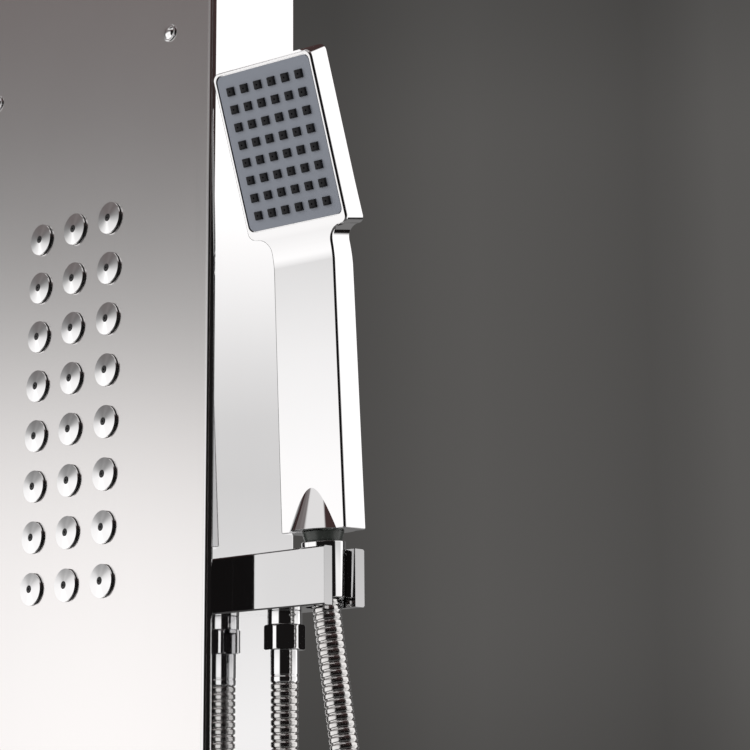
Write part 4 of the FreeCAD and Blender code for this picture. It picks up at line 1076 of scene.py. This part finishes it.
class SHOWER_OT_set_stage(bpy.types.Operator):
    """Lay the pale floor, hang the studio's light and set the view"""
    bl_idname = "shower.set_stage"
    bl_label = "Set Stage"

    def execute(self, context):
        context.scene.view_settings.view_transform = "Standard"
        low = cad_box[0][2] - FLOOR_GAP
        corners = [(x * FLOOR_REACH, y * FLOOR_REACH, low)
                   for x, y in ((-1, -1), (1, -1), (1, 1), (-1, 1))]
        floor = bench("floor", mesh_of("floor", corners, [(0, 1, 2, 3)]))
        floor.data.materials.append(FINISHES["pale_floor"])
        self.light_room(context.scene)
        self.hang_lamp()
        return {"FINISHED"}

    def light_room(self, scene):
        """Pale cards before and beside the panel, and a dark backdrop."""
        world = bpy.data.worlds.new("studio")
        scene.world = world
        world.cycles.sampling_method = "NONE"
        f = Finish(world)
        way = f.node("ShaderNodeSeparateXYZ",
                     {"Vector": f.value("ShaderNodeTexCoord", output="Generated")})
        x, y, z = (Value(f, socket) for socket in way.outputs)
        around = x.math("ARCTAN2", y * -1.0) * (180 / pi)
        height = z.math("ARCSINE") * (180 / pi)
        # The card before the panel, in two parts.
        front = f.levels(height, FRONT_CARD) * f.levels(around, FRONT_CARD_ACROSS)
        card = f.mixed(around.step(-44, -35), front, f.levels(height, NEAR_CARD))
        card = card * around.step(-84, -74) * (1 - around.step(0, 9))
        # The card beside it, which goes over into a plain one behind.
        far = height.step(-44, -34) * (1 - height.step(50, 62)) * 1.3
        beside = f.mixed(around.step(142, 147), f.levels(height, SIDE_CARD), far)
        beside = beside * around.step(104, 110) * (1 - around.step(160, 168))
        # A card high up, the ceiling, a faint glow behind the panel and one from the ground.
        high = height.step(34, 37) * around.step(-49, -41) * (1 - around.step(46, 56))
        high = high * (1 - height.step(56, 62)) * 0.85
        top = height.step(68, 76) * 0.45
        rear = (1 - around.step(-130, -120)) * (1 - height.step(18, 30))
        rear = rear * (1 - height.step(-8, 2) * 0.35) * 0.19
        ground = (1 - height.step(-44, -36)) * 0.09
        level = card
        for other in (beside, high, top, rear, ground):
            level = level.math("MAXIMUM", other)
        unlit = f.mix(height.step(16, 25), (0.009, 0.008, 0.008), (0.058, 0.034, 0.033))
        shown = f.mix(level.math("MINIMUM", 1.0), unlit, (1.0, 0.985, 0.98))
        # Levels over 1 are shown by the strength.
        glossy = f.value("ShaderNodeLightPath", output="Is Glossy Ray")
        strength = glossy * (level.math("MAXIMUM", 1.0) - 1.0) + 1.0
        backdrop_shading = f.levels(around, BACKDROP_SHADING)
        # Painted shade: the backdrop is darker towards the top and towards the bottom.
        backdrop_shading = backdrop_shading * (1 - height.step(19, 25) * 0.22) * (height.step(-2, 5) * 0.22 + 0.78)
        backdrop = f.mix(backdrop_shading, (0.0, 0.0, 0.0), (1.0, 0.965, 0.93))
        colour = f.mix(glossy, (0.62, 0.615, 0.61), shown)
        seen = f.value("ShaderNodeLightPath", output="Is Camera Ray")
        f.end("World", f.shader({"Color": f.mix(seen, colour, backdrop), "Strength": strength},
                                "Background"))

    def hang_lamp(self):
        """A soft lamp before the panel, which the mirrors don't show."""
        lamp = bpy.data.lights.new("soft_key", "AREA")
        lamp.shape, lamp.size, lamp.size_y, lamp.energy = "RECTANGLE", 1.6, 2.2, 30.0
        key = bench("soft_key", lamp)
        key.location = LAMP_PLACE
        key.rotation_euler = (LAMP_AIM - LAMP_PLACE).to_track_quat("-Z", "Y").to_euler()
        key.visible_glossy = False


class SHOWER_PT_panel(bpy.types.Panel):
    """The steps that build the shower panel, in order"""
    bl_idname = "SHOWER_PT_panel"
    bl_label = "Shower Panel"
    bl_space_type = "VIEW_3D"
    bl_region_type = "UI"
    bl_category = "Shower Panel"

    def draw(self, context):
        for group in (context.scene.panel_sizes, context.scene.panel_look):
            box = self.layout.box()
            for name in group.__annotations__:
                box.prop(group, name)
        for step in STEPS:
            self.layout.operator(step.bl_idname)


STEPS = (
    SHOWER_OT_mix_finishes, SHOWER_OT_place_camera, SHOWER_OT_set_jets, SHOWER_OT_dress_column,
    SHOWER_OT_dress_bracket, SHOWER_OT_dress_handset, SHOWER_OT_hang_hose,
    SHOWER_OT_dress_rain_head, SHOWER_OT_dress_valves, SHOWER_OT_dress_inside, SHOWER_OT_set_stage,
)
CLASSES = (PanelSizes, PanelLook, *STEPS, SHOWER_PT_panel)


def register():
    for cls in CLASSES:
        bpy.utils.register_class(cls)
    bpy.types.Scene.panel_sizes = PointerProperty(type=PanelSizes)
    bpy.types.Scene.panel_look = PointerProperty(type=PanelLook)


def unregister():
    del bpy.types.Scene.panel_look
    del bpy.types.Scene.panel_sizes
    for cls in reversed(CLASSES):
        bpy.utils.unregister_class(cls)


def main():
    register()
    bpy.ops.shower.mix_finishes()
    bpy.ops.shower.place_camera()
    bpy.ops.shower.set_jets()
    bpy.ops.shower.dress_column()
    bpy.ops.shower.dress_bracket()
    bpy.ops.shower.dress_handset()
    bpy.ops.shower.hang_hose()
    bpy.ops.shower.dress_rain_head()
    bpy.ops.shower.dress_valves()
    bpy.ops.shower.dress_inside()
    bpy.ops.shower.set_stage()


if __name__ == "__main__":
    main()
